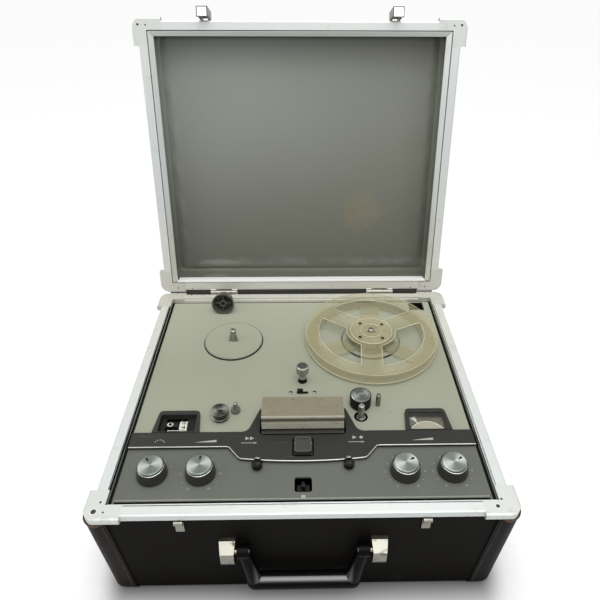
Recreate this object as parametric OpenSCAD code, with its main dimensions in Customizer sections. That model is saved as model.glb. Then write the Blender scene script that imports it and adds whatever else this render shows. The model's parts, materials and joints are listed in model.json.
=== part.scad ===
// Portable reel-to-reel tape recorder in a lidded carrying case.
// +X is to the right of the operator, +Y to the back, +Z up.
// The origin is the middle of the underside of the case. The lid stands open.

/* [Case] */
// Depth of the case over its covering
case_d = 366; // [350:1:400]
// Height of the rim, where base and lid meet
rim_z = 130; // [122:1:150]
// Thickness of the wooden walls
wall_t = 10; // [8:0.5:12]
// Thickness of the base board
floor_t = 8; // [6:0.5:12]
// Rounding of the upright edges
case_r = 12; // [8:1:18]
// Rounding along the lower edges
foot_r = 4; // [2:0.5:6]
// Thickness of the leather corner wraps
wrap_t = 1.6; // [1:0.2:2.4]
// Reach of a corner wrap along each wall at the rim
wrap_top = 22; // [18:1:30]
// Reach of a corner wrap along each wall at the foot
wrap_foot = 32; // [24:1:40]

/* [Rails and corner castings] */
// Overhang of the rails beyond the walls
rail_out = 3; // [2:0.5:4]
// Width of the flat face where the rails meet
rail_face = 11; // [9:0.5:12]
// Height of a rail
rail_h = 7; // [6:0.5:9]
// Rounding of a rail's outer edge
rail_round = 1.8; // [1:0.2:2.5]
// Width of the low step inside a base rail
ledge_w = 2; // [1.5:0.1:2.5]
// Drop of that step below the rim
ledge_drop = 3; // [2:0.5:4]
// Width of the sloping trim inside the lid
trim_w = 6; // [4:0.5:8]
// Rise of the sloping trim into the lid
trim_rise = 5; // [3:0.5:6]
// Groove between the lid's rail and its trim
trim_gap = 1.2; // [0.8:0.1:2]
// Thickness of the trim's plain bar at the back
trim_back = 0.8; // [0.6:0.1:1.2]
// Length of a casting along each rail
casting_len = 30; // [24:1:36]
// Bulge of a casting beyond the side rails
casting_side = 7; // [3:0.5:8]
// Bulge of a casting beyond the front and rear rails
casting_end = 4; // [2:0.25:4.25]
// Depth of a casting below its rail
casting_skirt = 1; // [0.5:0.5:8]
// Rounding of a casting in plan
casting_r = 15; // [12:1:20]
// Rounding of a casting's edges
casting_edge = 2.5; // [1.5:0.25:3]

/* [Lid] */
// Height of the lid above the rim when shut
lid_h = 52; // [48:1:70]
// Thickness of the lid's walls
lid_wall = 8; // [6:0.5:10]
// Thickness of the lid's top
lid_top_t = 5; // [4:0.5:8]
// Thickness of the vinyl lining
lining_t = 2; // [1.5:0.1:3]
// Angle of the open lid from shut
lid_angle = 99.5; // [90:0.5:105]
// Distance of the hinge axis behind the rails
hinge_gap = 4.5; // [4.5:0.1:6]
// Diameter of the hinge barrels
barrel_d = 7; // [6:0.1:7.4]
// Diameter of the hinge pins
hinge_pin_d = 3.2; // [2.5:0.1:4]
// Distance of a hinge's outer end from the middle
hinge_x = 138; // [120:1:150]
// Length of a base barrel
base_barrel = 7.5; // [5:0.5:12]
// Length of a lid barrel
lid_barrel = 24; // [16:1:30]

/* [Latches and handle] */
// Distance of each latch from the middle
latch_x = 121; // [105:1:150]
// Width of a latch flap
latch_w = 13.6; // [12:0.2:16]
// Depth of a latch flap
latch_depth = 10; // [9:0.5:13]
// Reach of a latch flap from its pivot
latch_len = 28; // [26:0.5:32]
// Height of the latch pivot above the rim
latch_pivot_h = 13; // [12:0.5:16]
// Distance of the latch pivot in front of the wall
latch_pivot_out = 7; // [6:0.5:9]
// Diameter of the latch pivot
latch_pin_d = 3; // [2:0.1:3.6]
// How far a latch stands out at rest
latch_rest = 10; // [10:1:40]
// Width of a strike hook
strike_w = 8.6; // [7:0.2:9.2]
// Distance between the middles of the handle lugs
lug_span = 153; // [140:1:180]
// Width of a handle lug
lug_w = 17; // [12:0.5:20]
// Height of the handle pivot
handle_z = 80; // [60:1:95]
// Distance of the handle pivot from the wall
handle_out = 9; // [8.5:0.5:14]
// Diameter of the handle pin
handle_pin_d = 5; // [4:0.2:6]
// Drop from the pivot to the grip's axis
handle_drop = 46; // [38:1:52]
// Diameter of the grip
grip_d = 18; // [14:0.5:22]
// Length of the grip between its bends
grip_len = 100; // [80:1:112]

/* [Deck] */
// Depth of the deck below the rim
deck_drop = 7.5; // [7:0.25:12]
// Thickness of the deck and of the panel
deck_t = 2; // [1.5:0.1:3]
// Gap between the deck and each side wall
deck_side_gap = 3; // [2:0.5:5]
// Gap between the deck and the rear wall
deck_rear_gap = 0.6; // [0.3:0.1:2]
// Gap between the panel and the front wall
panel_gap = 3.5; // [3:0.5:7]
// Line where the deck meets the control panel
panel_join = -95; // [-99:1:-88]
// Height of the bearers under the deck
bearer_h = 16; // [10:1:24]
// Width of the bearers
bearer_w = 12; // [10:1:16]

/* [Reels] */
// Diameter of the tape reel
reel_d = 178; // [150:1:180]
// Gap between two reels side by side
reel_gap = 9; // [4:1:14]
// Room between a reel and the side wall
side_room = 10.5; // [8:0.5:16]
// Gap behind a reel, to the rear rail and to the shut lid's lining
reel_back = 0.8; // [0.6:0.1:4]
// Overall thickness of the reel
reel_h = 14.5; // [12:0.5:16]
// Thickness of a reel flange
flange_t = 2.2; // [1.2:0.1:2.5]
// Diameter of the reel's hub
reel_hub_d = 56; // [50:1:64]
// Width of the solid band at a flange's rim
reel_band = 18; // [12:1:24]
// Width of a flange's arms
reel_arm = 27; // [18:1:34]
// Diameter of the turntables
turntable_d = 78; // [66:1:90]
// Thickness of the turntables
turntable_t = 2; // [1.5:0.1:3]
// Diameter of the spindles
spindle_d = 7.9; // [6:0.1:9]
// Height of the spindles above the deck
spindle_h = 20.5; // [19:0.5:30]
// Diameter of the drive wheels below the deck
drive_d = 54; // [40:1:56]

/* [Tape path] */
// Capstan position
capstan_x = 67.7; // [62:0.1:74]
capstan_y = -55.8; // [-60:0.1:-52]
// Diameter of the capstan
capstan_d = 7; // [5:0.1:8]
// Height of the capstan above the deck
capstan_h = 19; // [15:0.5:22]
// Diameter of the flywheel
flywheel_d = 84; // [70:1:86]
// Diameter of the pinch roller
pinch_d = 25; // [20:0.5:26]
// Height of the pinch roller
pinch_h = 14; // [12:0.5:16]
// Gap between roller and capstan at rest
pinch_gap = 3.8; // [3.6:0.1:5]
// Distance of the pinch arm's pivot to the right of the capstan
pinch_arm = 36; // [33:0.5:38]
// Diameter of the guide roller
roller_d = 20.5; // [16:0.5:22]
// Height of the guide roller
roller_h = 11; // [9:0.5:14]
// Width of the head cover
cover_w = 92; // [84:1:94]
// Depth of the head cover
cover_d = 31; // [28:0.5:32]
// Height of the head cover above the deck
cover_h = 26; // [24:0.5:30]
// Front face of the head cover
cover_front = -79; // [-80:0.5:-77]

/* [Controls] */
// Height of the escutcheon above the deck
plate_h = 4; // [3.5:0.25:5]
// Rear and front edges of the escutcheon's side strips
strip_rear = -80; // [-82:0.5:-79]
strip_front = -100; // [-102:0.5:-98]
// Distance of the two windows from the deck's side edges
window_in = 47.5; // [40:0.5:52]
// Depth of a window bezel behind the strip
bezel_d = 32; // [30:0.5:34]
// Height of a bezel above the deck
bezel_h = 4.6; // [4.2:0.1:7]
// Distance of the outer knobs from the deck's side edges
knob_in = 33; // [28:0.5:36]
// Distance between the two knobs of a pair
knob_pitch = 50; // [45:0.5:57]
// Distance of the knobs in front of the middle
knob_y = -132.5; // [-136:0.5:-130]
// Diameter of a knob's skirt
skirt_d = 32; // [28:0.5:34]
// Diameter of a knob's metal cap
cap_d = 26; // [20:0.5:28]
// Height of a knob above the deck
knob_h = 15.5; // [13:0.5:20]
// Diameter of the control shafts
shaft_d = 6; // [4:0.1:6.4]
// Distance of the two levers from the middle
lever_x = 48.5; // [44:0.5:52]
// Diameter of a lever's ball
lever_d = 11.5; // [9:0.5:13]
// Width and depth of the record button
button_w = 18.4; // [15:0.2:20]
button_d = 20.5; // [16:0.2:22]
// Gap round the record button
button_gap = 1.2; // [0.4:0.1:1.6]
// Width of the stop key's hole
stop_w = 18; // [16:0.5:20]

/* [Fits] */
// Radial clearance of a turning fit
run = 0.05; // [0.02:0.01:0.1]
// Clearance of a sliding or loose fit
slip = 0.3; // [0.2:0.05:0.4]

/* [Hidden] */
$fn = 64;

// Case
case_w = 2 * (reel_d + side_room + wall_t) + reel_gap;
wall_top = rim_z - rail_h;
inner_w = case_w - 2 * wall_t;
inner_d = case_d - 2 * wall_t;
rail_w = case_w + 2 * rail_out;
rail_d = case_d + 2 * rail_out;
rail_t = rail_face + ledge_w;
casting_w = rail_w + 2 * casting_side;
casting_d = rail_d + 2 * casting_end;
front_wall = -case_d / 2;
rail_front = -rail_d / 2;
hinge_y = rail_d / 2 + hinge_gap;
hinge_split = hinge_x - base_barrel;
hinge_mid = hinge_split - lid_barrel;
hinge_in = hinge_mid - base_barrel;
lid_under = rim_z + lid_h - lid_top_t;

// Deck
deck_z = rim_z - deck_drop;
deck_under = deck_z - deck_t;
deck_w = inner_w - 2 * deck_side_gap;
deck_rear = inner_d / 2 - deck_rear_gap;
panel_front = panel_gap - inner_d / 2;

// Drive
reel_x = (reel_d + reel_gap) / 2;
reel_room = min(rail_d / 2 - rail_t, rail_d / 2 - rail_face - trim_gap - trim_back,
                case_d / 2 - lid_wall - lining_t);
reel_y = reel_room - reel_back - reel_d / 2;
disc_lift = 0.4;
bush_lift = 0.1;
disc_top = deck_z + disc_lift + turntable_t;
reel_z = disc_top;
bush_len = 24;
bush_d = 14;
drive_z = deck_under - bush_len - slip;
drive_h = 8;
fly_h = 12;
arm_t = 3;
fly_z = deck_under - 9 - fly_h;
belt_w = 5;
belt_t = 1;
motor_x = 20;
motor_y = 60;
motor_pulley_d = 13;
belt_turn = atan2(capstan_y - motor_y, capstan_x - motor_x);
motor_top = deck_under - 24;
pinch_x = capstan_x + 0.8;
pinch_y = capstan_y + (capstan_d + pinch_d) / 2 + pinch_gap;
pinch_pivot_x = capstan_x + pinch_arm;

// Controls
window_rear = strip_rear + bezel_d;
window_w = 41;
meter_half = window_w / 2 + 1;
meter_lug = 4;
meter_clear = 3;
window_x = max(deck_w / 2 - window_in, capstan_x + flywheel_d / 2 + meter_half + meter_lug + meter_clear);
knob_outer = deck_w / 2 - knob_in;
knob_inner = knob_outer - knob_pitch;
bezel_side = 6;
bezel_front = 1;
bezel_back = 6;
window_d = bezel_d - bezel_front - bezel_back;
window_y = strip_rear + bezel_front + window_d / 2;
knob_gap = 1;
button_y = (strip_front + strip_rear) / 2 - 12;
lever_y = strip_front - 25;
stop_y = -147;
slide_y = -16;
speed_y = 5;

// Colours
leather = [0.13, 0.11, 0.10];
bright = [0.82, 0.83, 0.82];
nickel = [0.78, 0.77, 0.73];
olive = [0.64, 0.65, 0.57];
slate = [0.43, 0.44, 0.41];
charcoal = [0.25, 0.25, 0.24];
black = [0.07, 0.07, 0.07];
steel = [0.6, 0.6, 0.58];
timber = [0.55, 0.42, 0.28];
amber = [0.72, 0.66, 0.48];

// Shared shapes

module rounded_rect(w, d, r) {
  square([w - 2 * r, d], center = true);
  square([w, d - 2 * r], center = true);
  for (x = [-1, 1], y = [-1, 1])
    translate([x * (w / 2 - r), y * (d / 2 - r)]) circle(r);
}

module box(lo, hi) {
  translate(lo) cube(hi - lo);
}

module rod_x(d, x0, x1, y, z) {
  translate([x0, y, z]) rotate([0, 90, 0]) cylinder(d = d, h = x1 - x0);
}

module tube(d, bore, h) {
  difference() {
    cylinder(d = d, h = h);
    translate([0, 0, -1]) cylinder(d = bore, h = h + 2);
  }
}

module on_deck(x, y, z = 0) {
  translate([x, y, deck_z + z]) children();
}

module both_sides() {
  for (s = [0, 1]) mirror([s, 0, 0]) children();
}

// Puts what is drawn in the shut lid's place into the open lid's place.
module lid_open() {
  translate([0, hinge_y, rim_z]) rotate([-lid_angle, 0, 0])
    translate([0, -hinge_y, -rim_z]) children();
}

// Turns a shape that stands on the rim over, so that it hangs from the rim.
module from_lid_side() {
  translate([0, 0, 2 * rim_z]) mirror([0, 0, 1]) children();
}

function arc(c, r, a0, a1, n) =
  [for (i = [0 : n]) let(a = a0 + (a1 - a0) * i / n) c + r * [cos(a), sin(a)]];

function mirrored(pts) = [for (i = [len(pts) - 1 : -1 : 0]) [-pts[i][0], pts[i][1]]];

// Case

// A block that stands on z = 0, with rounded upright edges and lower edges.
module box_with_soft_foot(w, d, h, r_up, r_foot) {
  intersection() {
    linear_extrude(h) rounded_rect(w, d, r_up);
    rotate([90, 0, 0]) linear_extrude(d + 2, center = true) foot_profile(w, h, r_foot);
    rotate([90, 0, 90]) linear_extrude(w + 2, center = true) foot_profile(d, h, r_foot);
  }
}

module foot_profile(w, h, r) {
  translate([-w / 2, r]) square([w, h]);
  translate([r - w / 2, 0]) square([w - 2 * r, h]);
  for (s = [-1, 1]) translate([s * (w / 2 - r), r]) circle(r);
}

// Louvres in the left wall, in front of the loudspeaker.
speaker_y = 20;
speaker_z = 56;
speaker_d = 86;
louvre_h = 4;
louvre_pitch = 9;

module louvres() {
  for (i = [-3 : 3]) {
    half = sqrt(pow(speaker_d / 2 - 8, 2) - pow(i * louvre_pitch, 2));
    translate([-case_w / 2 - 1, speaker_y - half, speaker_z + i * louvre_pitch - louvre_h / 2])
      cube([wall_t + 2, 2 * half, louvre_h]);
  }
}

module case_walls() {
  color(leather) difference() {
    box_with_soft_foot(case_w, case_d, wall_top, case_r, foot_r);
    translate([0, 0, -1]) linear_extrude(wall_top + 2) square([inner_w, inner_d], center = true);
    louvres();
  }
}

module case_floor() {
  color(leather) linear_extrude(floor_t) square([inner_w, inner_d], center = true);
}

// Leather wraps on the four upright edges, wider at the foot than at the rim.
module wraps(height, low, top_reach, foot_reach) {
  intersection() {
    translate([0, 0, low]) linear_extrude(height - low) difference() {
      rounded_rect(case_w + 2 * wrap_t, case_d + 2 * wrap_t, case_r + wrap_t);
      rounded_rect(case_w, case_d, case_r);
    }
    rotate([90, 0, 0]) linear_extrude(2 * case_d, center = true)
      wrap_profile(case_w, height, top_reach, foot_reach);
    rotate([90, 0, 90]) linear_extrude(2 * case_w, center = true)
      wrap_profile(case_d, height, top_reach, foot_reach);
  }
}

module wrap_profile(w, height, top_reach, foot_reach) {
  edge = w / 2 + 2 * wrap_t;
  for (s = [0, 1]) mirror([s, 0])
    polygon([[edge, 0], [edge, height], [w / 2 - top_reach, height], [w / 2 - foot_reach, 0]]);
}

module corner_wraps() {
  color(leather) wraps(wall_top - casting_skirt, foot_r, wrap_top, wrap_foot);
}

// Rails, drawn standing on the wall tops

module rail_section() {
  polygon(concat(
    [[0, 0], [rail_t, 0], [rail_t, rail_h - ledge_drop], [rail_face, rail_h - ledge_drop],
     [rail_face, rail_h]],
    arc([rail_round, rail_h - rail_round], rail_round, 90, 180, 6)));
}

module lid_rail_section() {
  polygon(concat(
    [[0, 0], [rail_face, 0], [rail_face, rail_h]],
    arc([rail_round, rail_h - rail_round], rail_round, 90, 180, 6)));
}

module rail_pair(across, along) {
  both_sides() translate([across / 2, 0, 0]) mirror([1, 0, 0]) rotate([90, 0, 0])
    linear_extrude(along, center = true) children();
}

module rail_frame() {
  translate([0, 0, wall_top]) {
    rail_pair(rail_w, rail_d - 2 * casting_len) children();
    rotate([0, 0, 90]) rail_pair(rail_d, rail_w - 2 * casting_len) children();
  }
}

// Four rounded castings, each over the corner of two rails and lapping the walls.
module castings(lap) {
  top = rail_h - 0.1;
  translate([0, 0, wall_top]) intersection() {
    union() {
      linear_extrude(top) difference() {
        casting_plan();
        square([rail_w - 2 * lap, rail_d - 2 * lap], center = true);
      }
      translate([0, 0, -casting_skirt]) linear_extrude(casting_skirt) difference() {
        casting_plan();
        rounded_rect(case_w, case_d, case_r);
      }
    }
    rotate([90, 0, 0]) linear_extrude(2 * case_d, center = true)
      translate([0, (top - casting_skirt) / 2])
        rounded_rect(casting_w, top + casting_skirt, casting_edge);
    rotate([90, 0, 90]) linear_extrude(2 * case_w, center = true)
      translate([0, (top - casting_skirt) / 2])
        rounded_rect(casting_d, top + casting_skirt, casting_edge);
  }
}

module casting_plan() {
  intersection() {
    rounded_rect(casting_w, casting_d, casting_r);
    for (x = [-1, 1], y = [-1, 1]) scale([x, y])
      translate([rail_w / 2 - casting_len, rail_d / 2 - casting_len]) square(2 * casting_len);
  }
}

module base_rails() {
  color(bright) rail_frame() rail_section();
}

module base_corners() {
  color(bright) castings(rail_t);
}

// Front fittings

strike_drop = rail_h + 0.6;
strike_plate_h = 20;
strike_plate_t = 1.4;
strike_roll_d = 5;
strike_roll_drop = latch_len - latch_pivot_h - strike_roll_d / 2 - 1.4;

module strike_hooks() {
  color(nickel) both_sides() translate([latch_x, front_wall, rim_z]) {
    box([-strike_w / 2, -strike_plate_t, -strike_drop - strike_plate_h],
        [strike_w / 2, 0, -strike_drop]);
    rod_x(strike_roll_d, -strike_w / 2, strike_w / 2, -3.4, -strike_roll_drop);
    box([-strike_w / 2, -3.4, -strike_roll_drop - 0.6],
        [strike_w / 2, 0, -strike_roll_drop + strike_roll_d / 2]);
  }
}

lug_top = handle_z + 9;
lug_foot = handle_z - 19.5;
lug_out = 16;
boss_d = 14;
boss_len = 12;
lug_in = lug_span / 2 - lug_w / 2;
boss_gap = 2;

// Side view of a lug, as distance from the wall against height.
module lug_side() {
  polygon([[0, lug_foot], [0, lug_top], [4, lug_top], [lug_out, lug_top - 4.5],
           [lug_out, handle_z - 10], [lug_out - 4.5, lug_foot]]);
}

module handle_brackets() {
  color(nickel) both_sides() translate([lug_span / 2, front_wall, 0]) {
    intersection() {
      rotate([90, 0, -90]) linear_extrude(lug_w, center = true) lug_side();
      linear_extrude(rim_z)
        polygon([[-lug_w / 2, 0], [lug_w / 2, 0], [lug_w / 2 - 2.5, -lug_out],
                 [1 - lug_w / 2, -lug_out]]);
    }
    rod_x(handle_pin_d, -lug_w / 2 - boss_gap - boss_len, 0, -handle_out, handle_z);
  }
}

// One grip with two bent arms, hanging from its bosses.
module handle() {
  boss_out = lug_in - boss_gap + slip;
  boss_mid = boss_out - boss_len / 2;
  grip_out = handle_out + 4;
  color(black) translate([0, front_wall, handle_z]) {
    difference() {
      union() {
        both_sides() {
          rod_x(boss_d, boss_out - boss_len, boss_out, -handle_out, 0);
          hull() {
            translate([boss_mid, -handle_out, 0]) sphere(d = boss_d - 1, $fn = 24);
            translate([grip_len / 2, -grip_out, -handle_drop + 3]) sphere(d = grip_d - 2, $fn = 24);
          }
        }
        rod_x(grip_d, -grip_len / 2, grip_len / 2, -grip_out, -handle_drop);
        both_sides() translate([grip_len / 2, -grip_out, -handle_drop]) sphere(d = grip_d);
      }
      both_sides() rod_x(handle_pin_d + 2 * run, boss_mid - boss_len, boss_out + 1, -handle_out, 0);
    }
  }
}

// Two hinges on the rear rails, each of three barrels on a pin

leaf_t = 1.2;
web_t = 2.4;

module hinge_base() {
  color(nickel) both_sides() {
    for (x = [hinge_split + slip, hinge_in]) {
      rod_x(barrel_d, x, x + base_barrel - slip, hinge_y, rim_z);
      box([x, rail_d / 2, rim_z - web_t - 0.6], [x + base_barrel - slip, hinge_y, rim_z - 0.6]);
    }
    rod_x(hinge_pin_d, hinge_mid - 1, hinge_split + 1, hinge_y, rim_z);
    box([hinge_in, rail_d / 2, wall_top], [hinge_x, rail_d / 2 + leaf_t, rim_z - 0.6 - web_t / 2]);
  }
}

module lid_hinge_leaves() {
  both_sides() difference() {
    union() {
      rod_x(barrel_d, hinge_mid, hinge_split, hinge_y, rim_z);
      box([hinge_mid, rail_d / 2, rim_z + 0.6], [hinge_split, hinge_y, rim_z + 0.6 + web_t]);
      box([hinge_mid, rail_d / 2, rim_z + 0.6], [hinge_split, rail_d / 2 + leaf_t, rim_z + rail_h]);
    }
    rod_x(hinge_pin_d + 2 * run, hinge_mid - 1, hinge_split + 1, hinge_y, rim_z);
  }
}

// Lid, drawn shut and then opened

module lid_shell() {
  color(leather) lid_open() from_lid_side() {
    translate([0, 0, rim_z - lid_h]) difference() {
      box_with_soft_foot(case_w, case_d, lid_h - rail_h, case_r, foot_r);
      translate([0, 0, lid_top_t]) linear_extrude(lid_h)
        square([case_w - 2 * lid_wall, case_d - 2 * lid_wall], center = true);
    }
    translate([0, 0, rim_z - lid_h])
      wraps(lid_h - rail_h - casting_skirt, foot_r, wrap_top, wrap_foot);
  }
}

module lid_rails() {
  color(bright) lid_open() from_lid_side() {
    rail_frame() lid_rail_section();
    lid_trim();
  }
}

// Trim inside the lid's rails: three sloping bars mitred at the front, a plain thin bar at the back.
module lid_trim() {
  lip = rail_face + trim_gap;
  w = rail_w - 2 * lip;
  d = rail_d - 2 * lip;
  translate([0, 0, wall_top]) {
    difference() {
      rail_pair(w, d) trim_section();
      translate([0, 0, -1]) linear_extrude(rail_h + 2) trim_mitre(w, d, 0);
    }
    intersection() {
      rotate([0, 0, 90]) rail_pair(d, w) trim_section();
      linear_extrude(rail_h) trim_mitre(w, d, slip);
    }
    box([trim_w + slip - w / 2, d / 2 - trim_back, 0], [w / 2 - trim_w - slip, d / 2, rail_h]);
  }
}

module trim_section() {
  polygon([[0, 0], [trim_w, 0], [trim_w, rail_h - trim_rise], [0.5, rail_h - 0.4], [0, rail_h - 0.4]]);
}

// Plan of the front bar, with its ends cut at 45 degrees.
module trim_mitre(w, d, gap) {
  deep = trim_w + 1;
  polygon([[gap - w / 2, -d / 2], [w / 2 - gap, -d / 2], [w / 2 - gap - deep, deep - d / 2],
           [gap + deep - w / 2, deep - d / 2]]);
}

module lid_corners() {
  color(bright) lid_open() from_lid_side() castings(rail_face);
}

// Vinyl tray glued inside the lid.
module lid_lining() {
  w = case_w - 2 * lid_wall;
  d = case_d - 2 * lid_wall;
  color([0.40, 0.40, 0.37]) lid_open() difference() {
    box([-w / 2, -d / 2, rim_z + rail_h], [w / 2, d / 2, lid_under]);
    box([lining_t - w / 2, lining_t - d / 2, rim_z],
        [w / 2 - lining_t, d / 2 - lining_t, lid_under - lining_t]);
  }
}

// Latches

latch_y = front_wall - latch_pivot_out;
latch_z = rim_z + latch_pivot_h;
latch_skin = 1.2;
ear_t = 2;
ear_x = latch_w / 2 - latch_skin - slip - ear_t;
latch_inner = rail_front - 1;
latch_outer = latch_inner - latch_depth;

module latch_plates() {
  both_sides() translate([latch_x, 0, 0]) difference() {
    union() {
      box([-latch_w / 2, front_wall - latch_skin, rim_z + rail_h + casting_skirt],
          [latch_w / 2, front_wall, latch_z + 9]);
      for (s = [0, 1]) mirror([s, 0, 0])
        box([ear_x, latch_y - latch_pin_d, latch_z - latch_pin_d],
            [ear_x + ear_t, front_wall, latch_z + latch_pin_d]);
      rod_x(latch_pin_d, -latch_w / 2 + 0.2, latch_w / 2 - 0.2, latch_y, latch_z);
    }
  }
}

module lid_fittings() {
  color(nickel) lid_open() {
    lid_hinge_leaves();
    latch_plates();
  }
}

// A folded channel with a turned-in claw, drawn fastened and then swung out.
module latch_flap() {
  foot = latch_z - latch_len;
  claw = latch_skin;
  claw_in = front_wall - strike_plate_t - slip - 0.1;
  translate([0, latch_y, latch_z]) rotate([-latch_rest, 0, 0]) translate([0, -latch_y, -latch_z])
    difference() {
      union() {
        box([-latch_w / 2, latch_outer, foot], [latch_w / 2, latch_outer + latch_skin, latch_z + 4]);
        for (s = [0, 1]) mirror([s, 0, 0])
          box([latch_w / 2 - latch_skin, latch_outer, foot], [latch_w / 2, latch_inner, latch_z + 4]);
        box([-latch_w / 2, latch_outer, foot - claw], [latch_w / 2, claw_in, foot]);
      }
      rod_x(latch_pin_d + 2 * run, -latch_w, latch_w, latch_y, latch_z);
    }
}

module latch_left() {
  color(nickel) lid_open() translate([-latch_x, 0, 0]) latch_flap();
}

module latch_right() {
  color(nickel) lid_open() translate([latch_x, 0, 0]) latch_flap();
}

// Deck

module deck_bearers() {
  color(timber) both_sides()
    box([inner_w / 2 - bearer_w, panel_front, deck_under - bearer_h],
        [inner_w / 2, inner_d / 2, deck_under]);
}

inlet_w = 22;
inlet_d = 19;
inlet_x = deck_w / 2 - 9 - inlet_w / 2;
inlet_y = deck_rear - 1.5 - inlet_d / 2;
inlet_depth = 24;
slot_w = 14;
slot_d = 4;
capstan_hole_d = 16;
speed_hole_d = 9.6;
pinch_slot = 10;

module deck_plate() {
  color(olive) difference() {
    translate([0, 0, deck_under]) linear_extrude(deck_t)
      translate([0, (deck_rear + panel_join) / 2])
        square([deck_w, deck_rear - panel_join], center = true);
    translate([0, 0, deck_under - 1]) linear_extrude(deck_t + 2) deck_holes();
  }
}

module deck_holes() {
  for (s = [-1, 1]) {
    translate([s * reel_x, reel_y]) circle(d = bush_d + 2 * run);
    translate([s * window_x, window_y]) window_outline();
  }
  translate([capstan_x, capstan_y]) circle(d = capstan_hole_d);
  translate([0, speed_y]) circle(d = speed_hole_d);
  translate([0, slide_y]) square([slot_w, slot_d], center = true);
  translate([pinch_x, pinch_y - pinch_gap / 2]) rounded_rect(pinch_slot, pinch_slot + pinch_gap, 4);
  translate([inlet_x, inlet_y]) square([inlet_w, inlet_d], center = true);
}

module window_outline() {
  rounded_rect(window_w, window_d, 2);
}

panel_lip_h = 1.4;
lever_slot_w = 20;
lever_slot_d = 6;
lever_stem_y = lever_y + 16;

module control_panel() {
  color(slate) {
    difference() {
      translate([0, 0, deck_under]) linear_extrude(deck_t)
        translate([0, (panel_join + panel_front) / 2])
          square([deck_w, panel_join - panel_front], center = true);
      translate([0, 0, deck_under - 1]) linear_extrude(deck_t + 2) panel_holes();
    }
    box([-deck_w / 2, panel_front, deck_z], [deck_w / 2, panel_front + 1.2, deck_z + panel_lip_h]);
  }
}

module panel_holes() {
  for (x = knob_places) translate([x, knob_y]) circle(d = pot_bush_d + 2 * run);
  for (s = [-1, 1])
    translate([s * lever_x + lever_slot_w / 2 - 4, lever_stem_y])
      square([lever_slot_w, lever_slot_d], center = true);
  translate([0, button_y]) circle(d = plunger_d + 2 * slip);
  translate([0, stop_y]) rounded_rect(stop_w, stop_w, 3);
}

// Raised plate across the deck, with a bowed dip in front and horns beside the heads

horn_rear = cover_front + cover_d + 2;
horn_w = cover_w / 2 + 4;
horn_foot = cover_w / 2 + 16;
horn_fillet = 10;
dip_w = 68;
dip_top_w = 81;
dip_y = strip_front - 16;
dip_bow = 4;
head_gap = 2.5;

function plate_half() = let(
    lean = atan2(horn_foot - horn_w, horn_rear - strip_rear),
    cx = horn_foot + horn_fillet * tan(45 - lean / 2) ,
    bow_r = (dip_w * dip_w + dip_bow * dip_bow) / (2 * dip_bow))
  concat(
    [[horn_w, horn_rear]],
    arc([cx, strip_rear + horn_fillet], horn_fillet, 180 + lean, 270, 8),
    [[deck_w / 2, strip_rear], [deck_w / 2, strip_front], [dip_top_w, strip_front]],
    arc([0, dip_y - dip_bow + bow_r], bow_r, asin(dip_w / bow_r) - 90, -90, 10));

module escutcheon() {
  half = plate_half();
  undercut = 2.6;
  color(charcoal) difference() {
    translate([0, 0, deck_z]) linear_extrude(plate_h) difference() {
      polygon(concat(half, mirrored(half)));
      translate([0, cover_front - 6 + cover_d])
        rounded_rect(cover_w + 2 * head_gap, 2 * cover_d, 5);
      translate([0, button_y]) rounded_rect(button_w + 2 * button_gap, button_d + 2 * button_gap, 3);
    }
    for (s = [-1, 1])
      box([s * lever_x - 4, dip_y - 2 * dip_bow, deck_z - 1],
          [s * lever_x - 4 + lever_slot_w, lever_stem_y + lever_slot_d / 2, deck_z + undercut]);
  }
}

// Frames round the counter and the meter, narrower at the back.
module window_bezels() {
  color(charcoal) for (s = [-1, 1]) translate([s * window_x, 0, deck_z])
    linear_extrude(bezel_h) difference() {
      bezel_outline();
      translate([0, window_y]) window_outline();
    }
}

module bezel_outline() {
  wide = window_w + 2 * bezel_side;
  taper = 3;
  r = 5;
  back = strip_rear + bezel_d;
  polygon(concat(
    [[-wide / 2, strip_rear], [wide / 2, strip_rear]],
    arc([wide / 2 - taper - r, back - r], r, 0, 90, 6),
    arc([taper + r - wide / 2, back - r], r, 90, 180, 6)));
}

// Counter

drum_d = 20;
tens_w = 15;
units_w = 8.5;
drum_gap = 1;
drum_y = window_y;
drum_off = 1.5;
drum_z = deck_z + 2 - drum_d / 2;
drums_w = tens_w + drum_gap + units_w;
axle_d = 4;
frame_t = 1.5;
tens_x = (tens_w - drums_w) / 2 - window_x - drum_off;
units_x = (drums_w - units_w) / 2 - window_x - drum_off;

module counter_frame() {
  half = window_w / 2;
  depth = window_d / 2;
  color(black) translate([-window_x, drum_y, 0]) {
    for (s = [0, 1]) mirror([s, 0, 0])
      box([half - 2 * frame_t, -depth, drum_z - drum_d / 2 - 3], [half - frame_t, depth, deck_z]);
    box([-half + frame_t, -depth, drum_z - drum_d / 2 - 3 - frame_t],
        [half - frame_t, depth, drum_z - drum_d / 2 - 3]);
    for (s = [0, 1]) mirror([s, 0, 0])
      box([half - frame_t, -depth - 5, deck_under - frame_t], [half + 5, depth + 5, deck_under]);
    for (s = [0, 1]) mirror([s, 0, 0])
      box([half - 2 * frame_t, -depth, deck_under - 4], [half + frame_t, depth, deck_under - frame_t]);
    rod_x(axle_d, -half + frame_t, half - frame_t, 0, drum_z);
    difference() {
      box([-half + frame_t, -depth, deck_z - frame_t], [half - frame_t, depth, deck_z]);
      translate([-drum_off, 0, deck_z]) cube([drums_w + 2 * slip, drum_d, 4 * frame_t], center = true);
    }
  }
}

module drum(x, w) {
  translate([x - w / 2, drum_y, drum_z]) rotate([0, 90, 0])
    tube(drum_d, axle_d + 2 * run, w);
}

module drum_tens() {
  color(black) drum(tens_x, tens_w);
}

module drum_units() {
  color([0.9, 0.9, 0.86]) drum(units_x, units_w);
}

// Meter

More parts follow.
